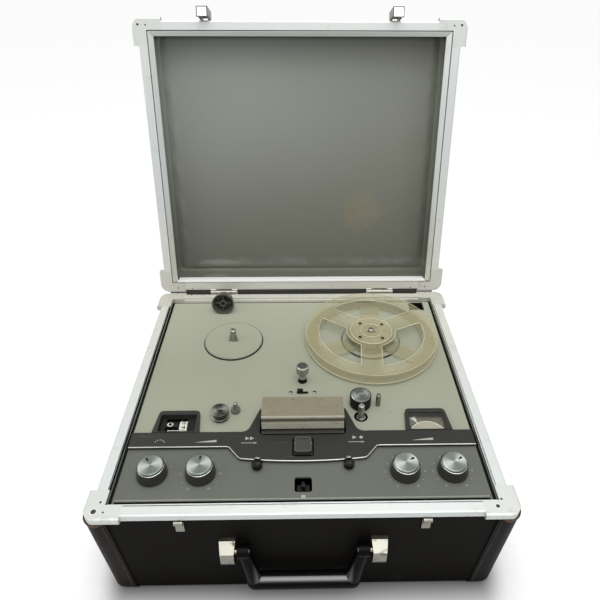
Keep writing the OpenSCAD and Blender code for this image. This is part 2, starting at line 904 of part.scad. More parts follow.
meter_depth = 16;
dial_z = deck_under - 3.6;
needle_y = strip_rear - 3;
needle_len = 33;
needle_rest = 25;
needle_pin_d = 3;
meter_disc_r = 21.5;

// A dial on a box under the deck, with a round plate over the needle's pivot.
module meter_body() {
  half = meter_half;
  rear = window_rear;
  front = needle_y - 7;
  color([0.55, 0.53, 0.45]) translate([window_x, 0, 0]) {
    box([-half, front, dial_z - meter_depth], [half, rear, dial_z]);
    for (s = [0, 1]) mirror([s, 0, 0]) box([half, front, dial_z - 6], [half + meter_lug, rear, deck_under]);
    translate([0, needle_y, dial_z]) cylinder(d = needle_pin_d, h = 2);
    intersection() {
      translate([0, needle_y, dial_z + 2]) cylinder(r = meter_disc_r, h = 1.2);
      box([-half, front, dial_z], [half, rear, deck_under]);
    }
  }
}

module meter_needle() {
  color([0.93, 0.93, 0.88]) translate([window_x, needle_y, dial_z + 0.6]) rotate([0, 0, needle_rest])
    linear_extrude(0.6) difference() {
      union() {
        circle(d = 6);
        polygon([[-0.7, 0], [0.7, 0], [0.5, needle_len - 9], [3.4, needle_len],
                 [-3.4, needle_len], [-0.5, needle_len - 9]]);
      }
      circle(d = needle_pin_d + 2 * run);
    }
}

module meter_glass() {
  color([0.8, 0.85, 0.85, 0.3]) translate([window_x, drum_y, deck_z + bezel_h - 2])
    linear_extrude(1.2) window_outline();
}

// Heads and their cover

head_plate_t = 1.6;
tape_y = cover_front + cover_d - 5;
head_h = 14;

module tape_heads() {
  color(steel) {
    translate([0, cover_front - 6 + cover_d, deck_z]) linear_extrude(head_plate_t) intersection() {
      rounded_rect(cover_w + 2 * head_gap - 2 * slip, 2 * cover_d - 2 * slip, 5);
      translate([0, -cover_d + (cover_d + 8) / 2]) square([2 * cover_w, cover_d + 8], center = true);
    }
    for (x = [-24, 2, 26]) translate([x, tape_y - 11, deck_z + head_plate_t]) {
      intersection() {
        translate([-8, -7, 0]) cube([16, 17, head_h]);
        translate([0, -4, 0]) cylinder(r = 14, h = head_h);
      }
    }
  }
}

// A hood with a grooved front, open behind and at the sides where the tape runs.
module head_cover() {
  skin = 1.6;
  rear = cover_front + cover_d;
  groove = 1.6;
  leg_rear = cover_front + 15;
  color([0.58, 0.54, 0.45]) translate([0, 0, deck_z]) difference() {
    union() {
      rotate([90, 0, 90]) linear_extrude(cover_w, center = true)
        polygon([[cover_front, 7], [cover_front, 15.5], [cover_front + groove, 16.5],
                 [cover_front + groove, 21], [cover_front, 22], [cover_front, cover_h - 1],
                 [cover_front + 1, cover_h], [rear - 1, cover_h], [rear, cover_h - 1],
                 [rear, cover_h - 6], [rear - skin, cover_h - 6], [rear - skin, cover_h - skin],
                 [cover_front + groove + skin, cover_h - skin], [cover_front + groove + skin, 7]]);
      both_sides() translate([cover_w / 2 - skin, 0, 0]) rotate([90, 0, 90]) linear_extrude(skin)
        polygon([[cover_front + groove, head_plate_t], [cover_front + groove, cover_h - 1],
                 [rear - 1, cover_h - 1], [rear - 1, 18], [leg_rear, 18], [leg_rear, head_plate_t]]);
    }
  }
}

// Fixed guides on the deck

post_x = -78.5;
post_y = -45.5;
roller_x = -95.5;
roller_y = -54;
pin_x = 89.5;
pin_y = -37.5;
stud_d = 4;

module guide_posts() {
  color(nickel) {
    on_deck(post_x, post_y) {
      cylinder(d = 11, h = 4);
      cylinder(d = 4, h = 11);
      translate([0, 0, 11.5]) sphere(d = 5.4);
    }
    on_deck(pin_x, pin_y) {
      cylinder(d = 5.6, h = 16.4);
      translate([0, 0, 16.4]) cylinder(d1 = 5.6, d2 = 4.4, h = 0.6);
    }
    on_deck(roller_x, roller_y) {
      cylinder(d = 9, h = 0.8);
      cylinder(d = stud_d, h = roller_h + 2.2);
    }
  }
}

module guide_roller() {
  color(bright) on_deck(roller_x, roller_y, 1.1) difference() {
    rotate_extrude() polygon([
      [stud_d / 2 + run, 0], [roller_d / 2, 0], [roller_d / 2, 2], [roller_d / 2 - 1.2, 2.8],
      [roller_d / 2 - 1.2, roller_h - 3.6], [roller_d / 2, roller_h - 2.8],
      [roller_d / 2, roller_h - 0.8], [roller_d / 2 - 0.8, roller_h],
      [stud_d / 2 + 1.6, roller_h], [stud_d / 2 + run, roller_h - 1]]);
  }
}

// Turntables and reel

module turntable(x) {
  translate([x, reel_y, deck_z + disc_lift]) difference() {
    union() {
      cylinder(d = turntable_d, h = turntable_t - 0.5);
      translate([0, 0, turntable_t - 0.5])
        cylinder(d1 = turntable_d, d2 = turntable_d - 1, h = 0.5);
    }
    translate([0, 0, -1]) cylinder(d = spindle_d + 2 * run, h = turntable_t + 2);
  }
}

module turntable_left() {
  color(olive) turntable(-reel_x);
}

module turntable_right() {
  color(olive) turntable(reel_x);
}

key_h = 11;
key_r = 7;
key_t = 1.6;

// Shaft with three sloping keys for the reel's hub, and the drive wheel below the deck.
module spindle(x) {
  tip = 1.2;
  translate([x, reel_y, 0]) {
    translate([0, 0, drive_z - drive_h])
      cylinder(d = spindle_d, h = deck_z + spindle_h - tip - drive_z + drive_h);
    translate([0, 0, deck_z + spindle_h - tip])
      cylinder(d1 = spindle_d, d2 = spindle_d - 2 * tip, h = tip);
    for (a = [90 : 120 : 330]) rotate([0, 0, a]) translate([0, key_t / 2, disc_top]) rotate([90, 0, 0])
      linear_extrude(key_t) polygon([[0, 0], [key_r, 0], [spindle_d / 2 + 0.3, key_h], [0, key_h]]);
    translate([0, 0, drive_z - drive_h]) rotate_extrude() polygon([
      [0, 0], [drive_d / 2, 0], [drive_d / 2 - 1.5, drive_h / 2], [drive_d / 2, drive_h], [0, drive_h]]);
  }
}

module spindle_left() {
  color(steel) spindle(-reel_x);
}

module spindle_right() {
  color(steel) spindle(reel_x);
}

// A reel flange: rim band, hub and three arms with open windows between.
module flange(first_arm) {
  outer = reel_d / 2 - reel_band;
  inner = reel_hub_d / 2 + 5;
  linear_extrude(flange_t) difference() {
    circle(d = reel_d);
    reel_bore();
    for (a = [first_arm : 120 : first_arm + 240]) rotate(a) polygon(concat(
      arc([0, 0], outer, asin(reel_arm / 2 / outer), 120 - asin(reel_arm / 2 / outer), 20),
      arc([0, 0], inner, 120 - asin(reel_arm / 2 / inner), asin(reel_arm / 2 / inner), 8)));
  }
}

module reel_bore() {
  circle(d = spindle_d + 4 * run);
  for (a = [90 : 120 : 330]) rotate(a)
    translate([0, -key_t / 2 - slip]) square([key_r + slip, key_t + 2 * slip]);
}

module reel_lower() {
  color(amber) translate([reel_x, reel_y, reel_z]) {
    flange(85);
    translate([0, 0, flange_t]) linear_extrude(reel_h - 2 * flange_t) difference() {
      circle(d = reel_hub_d);
      reel_bore();
      for (a = [30 : 120 : 270]) rotate(a) translate([reel_hub_d / 4 + 3, 0]) circle(d = 13);
    }
  }
}

module reel_upper() {
  color(amber) translate([reel_x, reel_y, reel_z + reel_h - flange_t]) flange(25);
}

// Drive

fly_gap = slip;
bridge_t = 3;
bridge_z = fly_z - 6;
bridge_r = flywheel_d / 2 + 8;
bridge_turn = -35;
pillar_d = 7;
pivot_d = 5;
capstan_bush_d = 11;
speed_bush_d = 14;
speed_shaft_d = 6;

module bearings() {
  color(steel) {
    for (s = [-1, 1]) translate([s * reel_x, reel_y, 0]) {
      translate([0, 0, deck_under - bush_len])
        tube(bush_d, spindle_d + 2 * run, bush_len + deck_t + bush_lift);
      translate([0, 0, deck_under - 3]) tube(26, bush_d - 1, 3);
    }
    translate([capstan_x, capstan_y, 0]) {
      translate([0, 0, fly_z + fly_h + fly_gap])
        tube(capstan_bush_d, capstan_d + 2 * run, deck_z - 0.3 - fly_z - fly_h - fly_gap);
      translate([0, 0, deck_under - 2]) tube(18, capstan_bush_d - 1, 2);
      thrust_bridge();
    }
    translate([pinch_pivot_x, pinch_y, deck_under - arm_t - 2.2]) {
      cylinder(d = pivot_d, h = arm_t + 2.2);
      cylinder(d = pivot_d + 4, h = 1.2);
    }
    translate([0, speed_y, deck_under - 14]) tube(speed_bush_d, speed_shaft_d + 2 * run, 14);
  }
}

// Strap under the flywheel that takes the capstan's weight, hung from the deck.
module thrust_bridge() {
  rotate([0, 0, bridge_turn]) {
    box([-bridge_r - pillar_d / 2, -pillar_d, bridge_z - bridge_t],
        [bridge_r + pillar_d / 2, pillar_d, bridge_z]);
    for (s = [-1, 1]) translate([s * bridge_r, 0, bridge_z])
      cylinder(d = pillar_d, h = deck_under - bridge_z);
    translate([0, 0, bridge_z]) tube(capstan_d + 8, capstan_d + 2 * run, 4);
  }
}

module capstan() {
  color(steel) translate([capstan_x, capstan_y, 0]) {
    translate([0, 0, bridge_z + slip]) cylinder(d = capstan_d, h = deck_z + capstan_h - 1 - bridge_z - slip);
    translate([0, 0, deck_z + capstan_h - 1]) cylinder(d1 = capstan_d, d2 = capstan_d - 2, h = 1);
    translate([0, 0, fly_z]) rotate_extrude() polygon([
      [0, 0], [11, 0], [13, 3], [flywheel_d / 2 - 9, 3], [flywheel_d / 2 - 7, 0], [flywheel_d / 2, 0],
      [flywheel_d / 2, fly_h], [flywheel_d / 2 - 7, fly_h], [flywheel_d / 2 - 9, fly_h - 3],
      [13, fly_h - 3], [11, fly_h], [0, fly_h]]);
  }
}

motor_d = 62;
motor_h = 52;
motor_flange_d = 84;
motor_shaft_d = 4;

module motor() {
  color([0.35, 0.36, 0.36]) translate([motor_x, motor_y, motor_top]) difference() {
    union() {
      translate([0, 0, -3]) cylinder(d = motor_flange_d, h = 3);
      translate([0, 0, -3 - motor_h]) rotate_extrude() polygon([
        [0, 0], [motor_d / 2 - 8, 0], [motor_d / 2 - 2, 4], [motor_d / 2 - 2, 14], [motor_d / 2 + 3, 14],
        [motor_d / 2 + 3, 38], [motor_d / 2 - 2, 38], [motor_d / 2 - 2, motor_h], [0, motor_h]]);
      for (a = [100, 180, 260]) rotate([0, 0, belt_turn + a]) translate([motor_flange_d / 2 - 5, 0, 0])
        cylinder(d = 6, h = deck_under - motor_top);
    }
    translate([0, 0, -motor_h / 2]) cylinder(d = motor_shaft_d + 2 * run, h = motor_h);
  }
}

module motor_pulley() {
  color([0.75, 0.62, 0.32]) translate([motor_x, motor_y, 0]) {
    translate([0, 0, motor_top - motor_h / 2 + 1])
      cylinder(d = motor_shaft_d, h = fly_z + fly_h - motor_top + motor_h / 2 - 1);
    translate([0, 0, fly_z]) cylinder(d = motor_pulley_d, h = fly_h);
  }
}

// Flat belt from the motor pulley round the flywheel.
module drive_belt() {
  span = norm([capstan_x - motor_x, capstan_y - motor_y]);
  color(black) translate([motor_x, motor_y, fly_z + (fly_h - belt_w) / 2]) rotate([0, 0, belt_turn])
    linear_extrude(belt_w) difference() {
      belt_loop(span, slip / 2 + belt_t);
      belt_loop(span, slip / 2);
    }
}

module belt_loop(span, out) {
  r0 = motor_pulley_d / 2 + out;
  r1 = flywheel_d / 2 + out;
  lean = acos((r0 - r1) / span);
  polygon(concat(arc([0, 0], r0, lean, 360 - lean, 12), arc([span, 0], r1, -lean, lean, 40)));
}

// Pinch roller on an arm under the deck

module pinch_arm_lever() {
  stub = 9;
  color(steel) {
    translate([0, 0, deck_under - arm_t - 0.6]) linear_extrude(arm_t) difference() {
      union() {
        translate([pinch_pivot_x, pinch_y]) circle(d = 13);
        translate([pinch_x, pinch_y]) circle(d = stub);
        translate([pinch_x, pinch_y - stub / 2]) square([pinch_pivot_x - pinch_x, stub]);
      }
      translate([pinch_pivot_x, pinch_y]) circle(d = pivot_d + 2 * run);
    }
    translate([pinch_x, pinch_y, deck_under - arm_t])
      cylinder(d = pivot_d, h = deck_t + arm_t + pinch_h + 3.6);
  }
}

module pinch_hub() {
  color(bright) on_deck(pinch_x, pinch_y, 1.2) difference() {
    union() {
      cylinder(d = pinch_d - 9, h = pinch_h);
      translate([0, 0, pinch_h]) cylinder(d1 = pinch_d - 2, d2 = pinch_d - 4, h = 1.2);
    }
    translate([0, 0, -1]) cylinder(d = pivot_d + 2 * run, h = pinch_h + 4);
  }
}

module pinch_tyre() {
  color(black) on_deck(pinch_x, pinch_y, 1.2) tube(pinch_d, pinch_d - 9 + 2 * run, pinch_h);
}

// Deck controls

module speed_knob() {
  color(bright) translate([0, speed_y, deck_z]) {
    rotate_extrude() polygon([
      [0, 0.4], [4.4, 0.4], [4.4, 10], [6.4, 13], [7.2, 14], [7.2, 23.5], [6.2, 25], [5, 25],
      [4.4, 23.6], [0, 23.6]]);
    translate([0, 0, -deck_t - 13]) cylinder(d = speed_shaft_d, h = deck_t + 14);
  }
}

slide_len = 14;

module switch_tab() {
  color(black) translate([-3, slide_y, deck_under]) {
    box([-slide_len / 2, -2.6, -4.6], [slide_len / 2, 2.6, -slip]);
    box([-3.5, -slot_d / 2 + slip, -1], [3.5, slot_d / 2 - slip, deck_t + 5.5]);
  }
}

// Bodies of the controls under the panel

knob_places = [-knob_outer, -knob_inner, knob_inner, knob_outer];
pot_bush_d = 9.6;
pot_d = 26;
pot_h = 14;
plunger_d = 6;
stop_rod_d = 5;

module panel_controls() {
  color(steel) {
    for (x = knob_places) translate([x, knob_y, 0]) pot();
    slide_switch();
    translate([0, button_y, deck_under - 16]) difference() {
      translate([-9, -8, 0]) cube([18, 16, 16]);
      translate([0, 0, 3]) cylinder(d = plunger_d + 2 * run, h = 20);
    }
    stop_guide();
    for (s = [-1, 1]) translate([s * lever_x, lever_stem_y, deck_under]) lever_guide();
  }
}

module pot() {
  difference() {
    union() {
      translate([0, 0, deck_under - pot_h]) cylinder(d = pot_d, h = pot_h);
      translate([0, 0, deck_under]) cylinder(d = pot_bush_d, h = deck_t + 3);
    }
    translate([0, 0, deck_under - pot_h + 2]) cylinder(d = shaft_d + 2 * run, h = pot_h + 20);
  }
}

module slide_switch() {
  travel = 6;
  translate([0, slide_y, deck_under]) difference() {
    box([-18, -6, -12], [18, 6, 0]);
    box([-3 - slide_len / 2 - slip, -2.6 - slip, -4.6 - slip],
        [-3 + slide_len / 2 + travel + slip, 2.6 + slip, 1]);
  }
}

module stop_guide() {
  half = stop_w / 2 + 2;
  translate([0, stop_y, deck_under]) {
    for (s = [0, 1]) mirror([s, 0, 0]) box([half, -7, -30], [half + 2, 7, 0]);
    difference() {
      box([-half, -7, -30], [half, 7, -22]);
      translate([0, 0, -31]) cylinder(d = stop_rod_d + 2 * run, h = 10);
    }
  }
}

module lever_guide() {
  lo = -9;
  hi = lever_slot_w + 2;
  box([lo, -6, -9], [hi, 6, -7]);
  for (x = [lo, hi - 2]) box([x, -6, -7], [x + 2, 6, 0]);
}

// Knobs: a skirted black body with a spun metal cap, on its control's shaft

module knob(x) {
  body_h = knob_h - 4.5;
  translate([x, knob_y, deck_z + knob_gap]) {
    color(black) rotate_extrude() polygon([
      [0, 5], [skirt_d / 2 - 2.4, 5], [skirt_d / 2 - 2.4, 0], [skirt_d / 2, 0], [skirt_d / 2, 1.6],
      [cap_d / 2 + 1.4, body_h], [0, body_h]]);
    color(bright) translate([0, 0, body_h]) rotate_extrude() polygon([
      [0, 0], [cap_d / 2, 0], [cap_d / 2, 2.6], [cap_d / 2 - 0.9, 3.5], [0, 3.5]]);
    color(steel) translate([0, 0, -knob_gap - deck_t - pot_h + 4])
      cylinder(d = shaft_d, h = knob_gap + deck_t + pot_h + 1);
  }
}

module selector_knob() {
  knob(-knob_outer);
}

module listening_knob() {
  knob(-knob_inner);
}

module record_knob_inner() {
  knob(knob_inner);
}

module record_knob_outer() {
  knob(knob_outer);
}

// A knob of the same kind lying on its side at the back of the deck, open end forward.
module spare_knob() {
  len = 16;
  small = cap_d / 2;
  wide = skirt_d / 2;
  skin = 1.8;
  lie = atan2(wide - small, len);
  color(black) translate([-114.6, deck_rear - 9, deck_z + small * cos(lie) + 0.1]) rotate([90 - lie, 0, 0]) {
    difference() {
      union() {
        rotate_extrude() polygon([
          [0, 0], [small, 0], [wide, len], [wide - skin, len], [small - skin, 2.4], [0, 2.4]]);
        cylinder(d = 10, h = len - 2);
        for (a = [0, 90]) rotate([0, 0, a])
          translate([-small + skin, -0.7, 1]) cube([2 * (small - skin), 1.4, len - 5]);
      }
      translate([0, 0, 3]) cylinder(d = shaft_d, h = len);
    }
  }
}

// Levers, record button and stop key

module lever(x) {
  arm_w = 5;
  arm_z = 0.4;
  arm_h = 1.8;
  translate([x, 0, 0]) {
    on_deck(0, lever_y, arm_z) rotate_extrude() polygon([
      [0, 0], [lever_d / 2 - 1.5, 0], [lever_d / 2, 1.5], [lever_d / 2, 6.5],
      [lever_d / 2 - 1.6, 8.4], [0, 9]]);
    box([-arm_w / 2, lever_y, deck_z + arm_z], [arm_w / 2, lever_stem_y + 1.5, deck_z + arm_z + arm_h]);
    box([-arm_w / 2, lever_stem_y - 1.5, deck_under - 6.6], [arm_w / 2, lever_stem_y + 1.5, deck_z + arm_z]);
    box([-6, lever_stem_y - 5, deck_under - 6.6], [6, lever_stem_y + 5, deck_under - 2]);
  }
}

module fast_lever() {
  color(black) lever(-lever_x);
}

module play_lever() {
  color(black) lever(lever_x);
}

module record_button() {
  lift = 3;
  color(black) translate([0, button_y, deck_z]) {
    difference() {
      translate([0, 0, lift]) linear_extrude(5.6) rounded_rect(button_w, button_d, 3);
      translate([0, 0, lift + 5.6 + 38]) rotate([90, 0, 0])
        cylinder(r = 39, h = button_d - 4, center = true);
    }
    translate([0, 0, -deck_t - 9]) cylinder(d = plunger_d, h = deck_t + 9 + lift + 1);
  }
}

module stop_key() {
  color(steel) translate([0, stop_y, deck_z]) {
    box([-6.5, -4.5, -10], [6.5, 4.5, -7.5]);
    translate([0, 0, -7.5]) cylinder(d = 4.6, h = 6.5);
    box([-1.2, -1.2, -7.5], [1.2, 7, -4.5]);
    translate([0, 0, -31]) cylinder(d = stop_rod_d, h = 22);
  }
}

// Inside the case

module mains_inlet() {
  skin = 1.6;
  color(black) translate([inlet_x, inlet_y, 0]) {
    difference() {
      union() {
        box([slip - inlet_w / 2, slip - inlet_d / 2, deck_z - inlet_depth],
            [inlet_w / 2 - slip, inlet_d / 2 - slip, deck_z]);
        box([-inlet_w / 2 - 2, -inlet_d / 2 - 5, deck_under - 2],
            [inlet_w / 2 - slip, inlet_d / 2, deck_under]);
      }
      box([-inlet_w / 2 + slip + skin, -inlet_d / 2 + slip + skin, deck_z - inlet_depth + 3],
          [inlet_w / 2 - slip - skin, inlet_d / 2 - slip - skin, deck_z + 1]);
    }
    for (s = [-1, 1]) translate([s * 5, 0, deck_z - inlet_depth + 2]) cylinder(d = 4, h = 12);
  }
}

chassis_h = 34;
chassis_w = 220;
chassis_d = 100;
chassis_x = -30;
chassis_y = -100;
sheet = 1.5;

module amplifier() {
  top = floor_t + chassis_h;
  translate([chassis_x, chassis_y, 0]) {
    color(steel) difference() {
      box([-chassis_w / 2, -chassis_d / 2, floor_t], [chassis_w / 2, chassis_d / 2, top]);
      box([sheet - chassis_w / 2, -chassis_d / 2 - 1, floor_t - 1],
          [chassis_w / 2 - sheet, chassis_d / 2 + 1, top - sheet]);
    }
    color([0.3, 0.28, 0.26]) translate([78, -6, top]) {
      translate([-26, -21, 0]) cube([52, 42, 40]);
      translate([-31, -12, 6]) cube([62, 24, 28]);
    }
    color([0.7, 0.75, 0.75]) for (x = [-70, -35, 0]) translate([x, -6, top]) {
      cylinder(d = 22, h = 36);
      translate([0, 0, 36]) sphere(d = 22);
    }
  }
}

module loudspeaker() {
  color(black) translate([-inner_w / 2, speaker_y, speaker_z]) rotate([0, 90, 0]) rotate_extrude() polygon([
    [0, 8], [speaker_d / 2 - 16, 0.6], [speaker_d / 2 - 6, 0.6], [speaker_d / 2 - 6, 0], [speaker_d / 2, 0],
    [speaker_d / 2, 2], [speaker_d / 2 - 6, 3], [24, 20], [24, 30], [0, 30]]);
}

case_walls();
case_floor();
corner_wraps();
base_rails();
base_corners();
strike_hooks();
handle_brackets();
hinge_base();
deck_bearers();
deck_plate();
control_panel();
escutcheon();
window_bezels();
counter_frame();
meter_body();
meter_glass();
tape_heads();
head_cover();
guide_posts();
bearings();
mains_inlet();
panel_controls();
motor();
drive_belt();
amplifier();
loudspeaker();
spare_knob();
lid_shell();
lid_rails();
lid_corners();
lid_lining();
lid_fittings();
latch_left();
latch_right();
handle();
turntable_left();
spindle_left();
turntable_right();
spindle_right();
reel_lower();
reel_upper();
drum_tens();
drum_units();
meter_needle();
pinch_arm_lever();
pinch_hub();
pinch_tyre();
capstan();
motor_pulley();
guide_roller();
speed_knob();
switch_tab();
selector_knob();
listening_knob();
record_knob_inner();
record_knob_outer();
fast_lever();
play_lever();
record_button();
stop_key();
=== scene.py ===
import json
import math

import bmesh
import bpy
from mathutils import Euler, Matrix, Vector, noise


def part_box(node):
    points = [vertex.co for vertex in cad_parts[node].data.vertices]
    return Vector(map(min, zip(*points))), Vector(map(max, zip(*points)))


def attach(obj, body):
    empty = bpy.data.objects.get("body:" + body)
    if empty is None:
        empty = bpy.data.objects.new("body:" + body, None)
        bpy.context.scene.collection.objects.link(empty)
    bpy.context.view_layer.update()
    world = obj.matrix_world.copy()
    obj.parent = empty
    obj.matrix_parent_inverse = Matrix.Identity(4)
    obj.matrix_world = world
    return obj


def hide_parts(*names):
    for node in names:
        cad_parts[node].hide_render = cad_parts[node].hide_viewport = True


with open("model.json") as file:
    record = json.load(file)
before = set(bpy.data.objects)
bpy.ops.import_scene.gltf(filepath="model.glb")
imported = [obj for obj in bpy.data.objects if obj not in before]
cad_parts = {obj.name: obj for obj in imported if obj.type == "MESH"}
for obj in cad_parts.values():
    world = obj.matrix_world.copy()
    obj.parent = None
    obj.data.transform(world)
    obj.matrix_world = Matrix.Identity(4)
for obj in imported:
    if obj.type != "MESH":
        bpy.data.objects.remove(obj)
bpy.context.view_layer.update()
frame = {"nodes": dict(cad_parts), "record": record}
cad = frame["nodes"]
print("frame loaded:", len(cad), "nodes")

# Places and measures that several pieces share, in millimetres

mm = 0.001
deckMm, rimMm = 122.5, 130.0
hinge = {"y": 190.5, "z": 130.0, "turn": -99.5}
reel = {"x": 93.5, "y": 83.2, "core": 27.0}
dial = {"x": 142.5, "y": -83.0, "z": 116.9, "disc": 120.1}


def topOf(node):  # height of a node's highest point
    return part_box(node)[1].z / mm


def footOf(node):
    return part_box(node)[0].z / mm


def middleOf(node):
    low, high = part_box(node)
    return (low + high) / 2 / mm


def between(ends, share):
    return ends[0] + (ends[1] - ends[0]) * share


def around(x, y, r, degrees):  # point on a circle
    a = math.radians(degrees)
    return x + r * math.cos(a), y + r * math.sin(a)


def turnAbout(y, z, degrees):  # turn round an axis along x
    turn = Matrix.Rotation(math.radians(degrees), 4, "X")
    return Matrix.Translation((0, y, z)) @ turn @ Matrix.Translation((0, -y, -z))


lidPose = turnAbout(hinge["y"], hinge["z"], hinge["turn"])

# Shader maths


def rgb(*channels):  # screen colour, 0 to 255, made linear
    shares = [c / 255 for c in channels]
    return tuple(s / 12.92 if s < 0.0404 else ((s + 0.055) / 1.055) ** 2.4 for s in shares) + (1.0,)


class Field:
    def __init__(self, tree, socket):
        self.tree = tree
        self.socket = socket

    def add(self, kind, inputs, out=0, **settings):
        made = self.tree.nodes.new(kind)
        for key, value in settings.items():
            setattr(made, key, value)
        for key, value in inputs.items():
            if isinstance(value, Field):
                self.tree.links.new(value.socket, made.inputs[key])
            else:
                made.inputs[key].default_value = value
        return Field(self.tree, made.outputs[out])

    def maths(self, how, a, b=0.0):
        return self.add("ShaderNodeMath", {0: a, 1: b}, operation=how)

    def __add__(self, o):
        return self.maths("ADD", self, o)

    def __radd__(self, o):
        return self.maths("ADD", o, self)

    def __sub__(self, o):
        return self.maths("SUBTRACT", self, o)

    def __rsub__(self, o):
        return self.maths("SUBTRACT", o, self)

    def __mul__(self, o):
        return self.maths("MULTIPLY", self, o)

    def __rmul__(self, o):
        return self.maths("MULTIPLY", o, self)

    def __pow__(self, o):
        return self.maths("POWER", self, o)

    def sine(self):
        return self.maths("SINE", self)

    def size(self):  # the value without its sign
        return self.maths("ABSOLUTE", self)

    def larger(self, o):
        return self.maths("MAXIMUM", self, o)

    def step(self, low, high):
        ends = {"Value": self, "From Min": low, "From Max": high}
        return self.add("ShaderNodeMapRange", ends, interpolation_type="SMOOTHSTEP")

    def above(self, level, soft):  # 0 under a level, 1 over it
        return self.step(level - soft, level + soft)

    def mix(self, a, b):
        return self.add("ShaderNodeMix", {0: self, 6: a, 7: b}, out=2, data_type="RGBA")

    def stretch(self, x, y, z):
        return self.add("ShaderNodeVectorMath", {0: self, 1: (x, y, z)}, operation="MULTIPLY")

    def shift(self, x, y, z):
        return self.add("ShaderNodeVectorMath", {0: self, 1: (x, y, z)}, operation="ADD")

    def length(self):
        return self.add("ShaderNodeVectorMath", {0: self}, out="Value", operation="LENGTH")

    def part(self, axis):
        return self.add("ShaderNodeSeparateXYZ", {0: self}, out=axis)

    def noise(self, scale, detail=3.0, rough=0.5):
        values = {"Vector": self, "Scale": scale, "Detail": detail, "Roughness": rough}
        return self.add("ShaderNodeTexNoise", values)

    def patches(self, scale, detail, rough, cut, soft):  # where a noise passes a level
        return self.noise(scale, detail, rough).step(cut, cut + soft)

    def cells(self, scale, feature="F1"):
        return self.add("ShaderNodeTexVoronoi", {"Vector": self, "Scale": scale}, feature=feature)

    def facing(self, axis):  # part of the surface's direction along one axis
        return self.add("ShaderNodeNewGeometry", {}, out="Normal").part(axis)

    def near(self, spot, r, soft):  # 1 within r of a point, 0 outside
        away = self.shift(*[-v * mm for v in spot]).length()
        return 1 - away.above(r * mm, soft * mm)

    def radius(self, x, y):  # distance from an upright axis
        return self.shift(-x * mm, -y * mm, 0).stretch(1, 1, 0).length()

    def bearing(self, x, y):  # angle round an upright axis
        flat = self.shift(-x * mm, -y * mm, 0)
        return self.maths("ARCTAN2", flat.part(1), flat.part(0))


def material(name, colour, rough=0.5, metal=0.0, build=None, shine=0.5, **constants):
    made = bpy.data.materials.new(name)
    made.use_nodes = True
    tree = made.node_tree
    skin = tree.nodes["Principled BSDF"]
    fixed = {"Base Color": colour, "Roughness": rough, "Metallic": metal, "Specular IOR Level": shine}
    for key, value in {**fixed, **constants}.items():
        skin.inputs[key].default_value = value
    if build:
        coords = tree.nodes.new("ShaderNodeTexCoord")
        for key, value in build(Field(tree, coords.outputs["Object"])).items():
            if key == "Bump":
                height, depth = value
                value = height.add("ShaderNodeBump", {"Height": height, "Strength": 1.0, "Distance": depth})
                key = "Normal"
            tree.links.new(value.socket, skin.inputs[key])
    return made


# Finishes: the heights and places beside them are in metres

acrossCase = (-0.2, 0.2)


def finish(colour, rough, bump, deep):
    return {"Base Color": colour, "Roughness": rough, "Bump": (bump, deep)}


def leathercloth(at):
    grain = at.cells(620, "SMOOTH_F1") * 0.7 + at.noise(1500, 2) * 0.5
    cloud = at.noise(9, 4)
    worn = at.patches(34, 6, 0.65, 0.62, 0.14)
    tone = cloud.mix(rgb(10, 9, 7), rgb(18, 16, 13))
    tone = (worn * 0.4).mix(tone, rgb(44, 38, 32))
    return finish(tone, 0.5 + cloud * 0.2, grain, 0.00045)


browned = (-0.1, 0.15)


def wrapLeather(at):
    grain = at.cells(520, "SMOOTH_F1") * 0.6 + at.noise(1100, 2) * 0.6
    cloud = at.noise(14, 5)
    scuff = at.stretch(1, 1, 0.35).patches(60, 6, 0.7, 0.6, 0.12)
    side = at.part(0).step(*browned)  # the left corners have browned more
    tone = side.mix(cloud.mix(rgb(20, 15, 13), rgb(32, 24, 20)), rgb(17, 16, 16))
    tone = (scuff * 0.35).mix(tone, rgb(66, 54, 45))
    return finish(tone, 0.45 + cloud * 0.25, grain, 0.0004)


def rollLeather(at):
    cloud = at.noise(40, 5, 0.65)
    return finish(cloud.mix(rgb(58, 42, 32), rgb(104, 82, 62)), 0.45 + cloud * 0.2, at.noise(500, 3), 0.0002)


rivet = {  # place and radius of each: pairs on both sides, single ones at the front corners
    "rear": [(188, 187, 1.2), (166.6, 183.6, 1.0)],
    "front": [(-202, -180.2, 2.6), (-198.1, -170, 1.3), (-192.5, -181.1, 1.1), (189.6, -179.7, 2.0),
              (195.4, -171.9, 1.3)],
    "lid": [(187, 182.9, 1.2), (165.4, 184.3, 1.0), (205, -181.3, 1.6), (195.4, -180.8, 1.1)],
    "ring": 1.35,
}
rear, inLid = ([(side * x, y, r) for side in (-1, 1) for x, y, r in rivet[k]] for k in ("rear", "lid"))
rivetSpots = [((x, y, rimMm), r) for x, y, r in rear + rivet["front"]]
rivetSpots += [(lidPose @ Vector((x, y, rimMm)), r) for x, y, r in inLid]


def riveted(at, tone):  # dark heads, each in a pale ring, flush with the metal; the dark is partly painted shade round the rivets
    ring = head = None
    for spot, r in rivetSpots:
        outer = at.near(spot, r * rivet["ring"], 0.15)
        inner = at.near(spot, r, 0.25)
        ring = ring.larger(outer) if ring else outer
        head = head.larger(inner) if head else inner
    return head.mix((ring * 0.6).mix(tone, rgb(236, 236, 230)), rgb(58, 57, 50))


freshMetal = {"height": (0.14, 0.30), "depth": (-0.12, 0.19)}


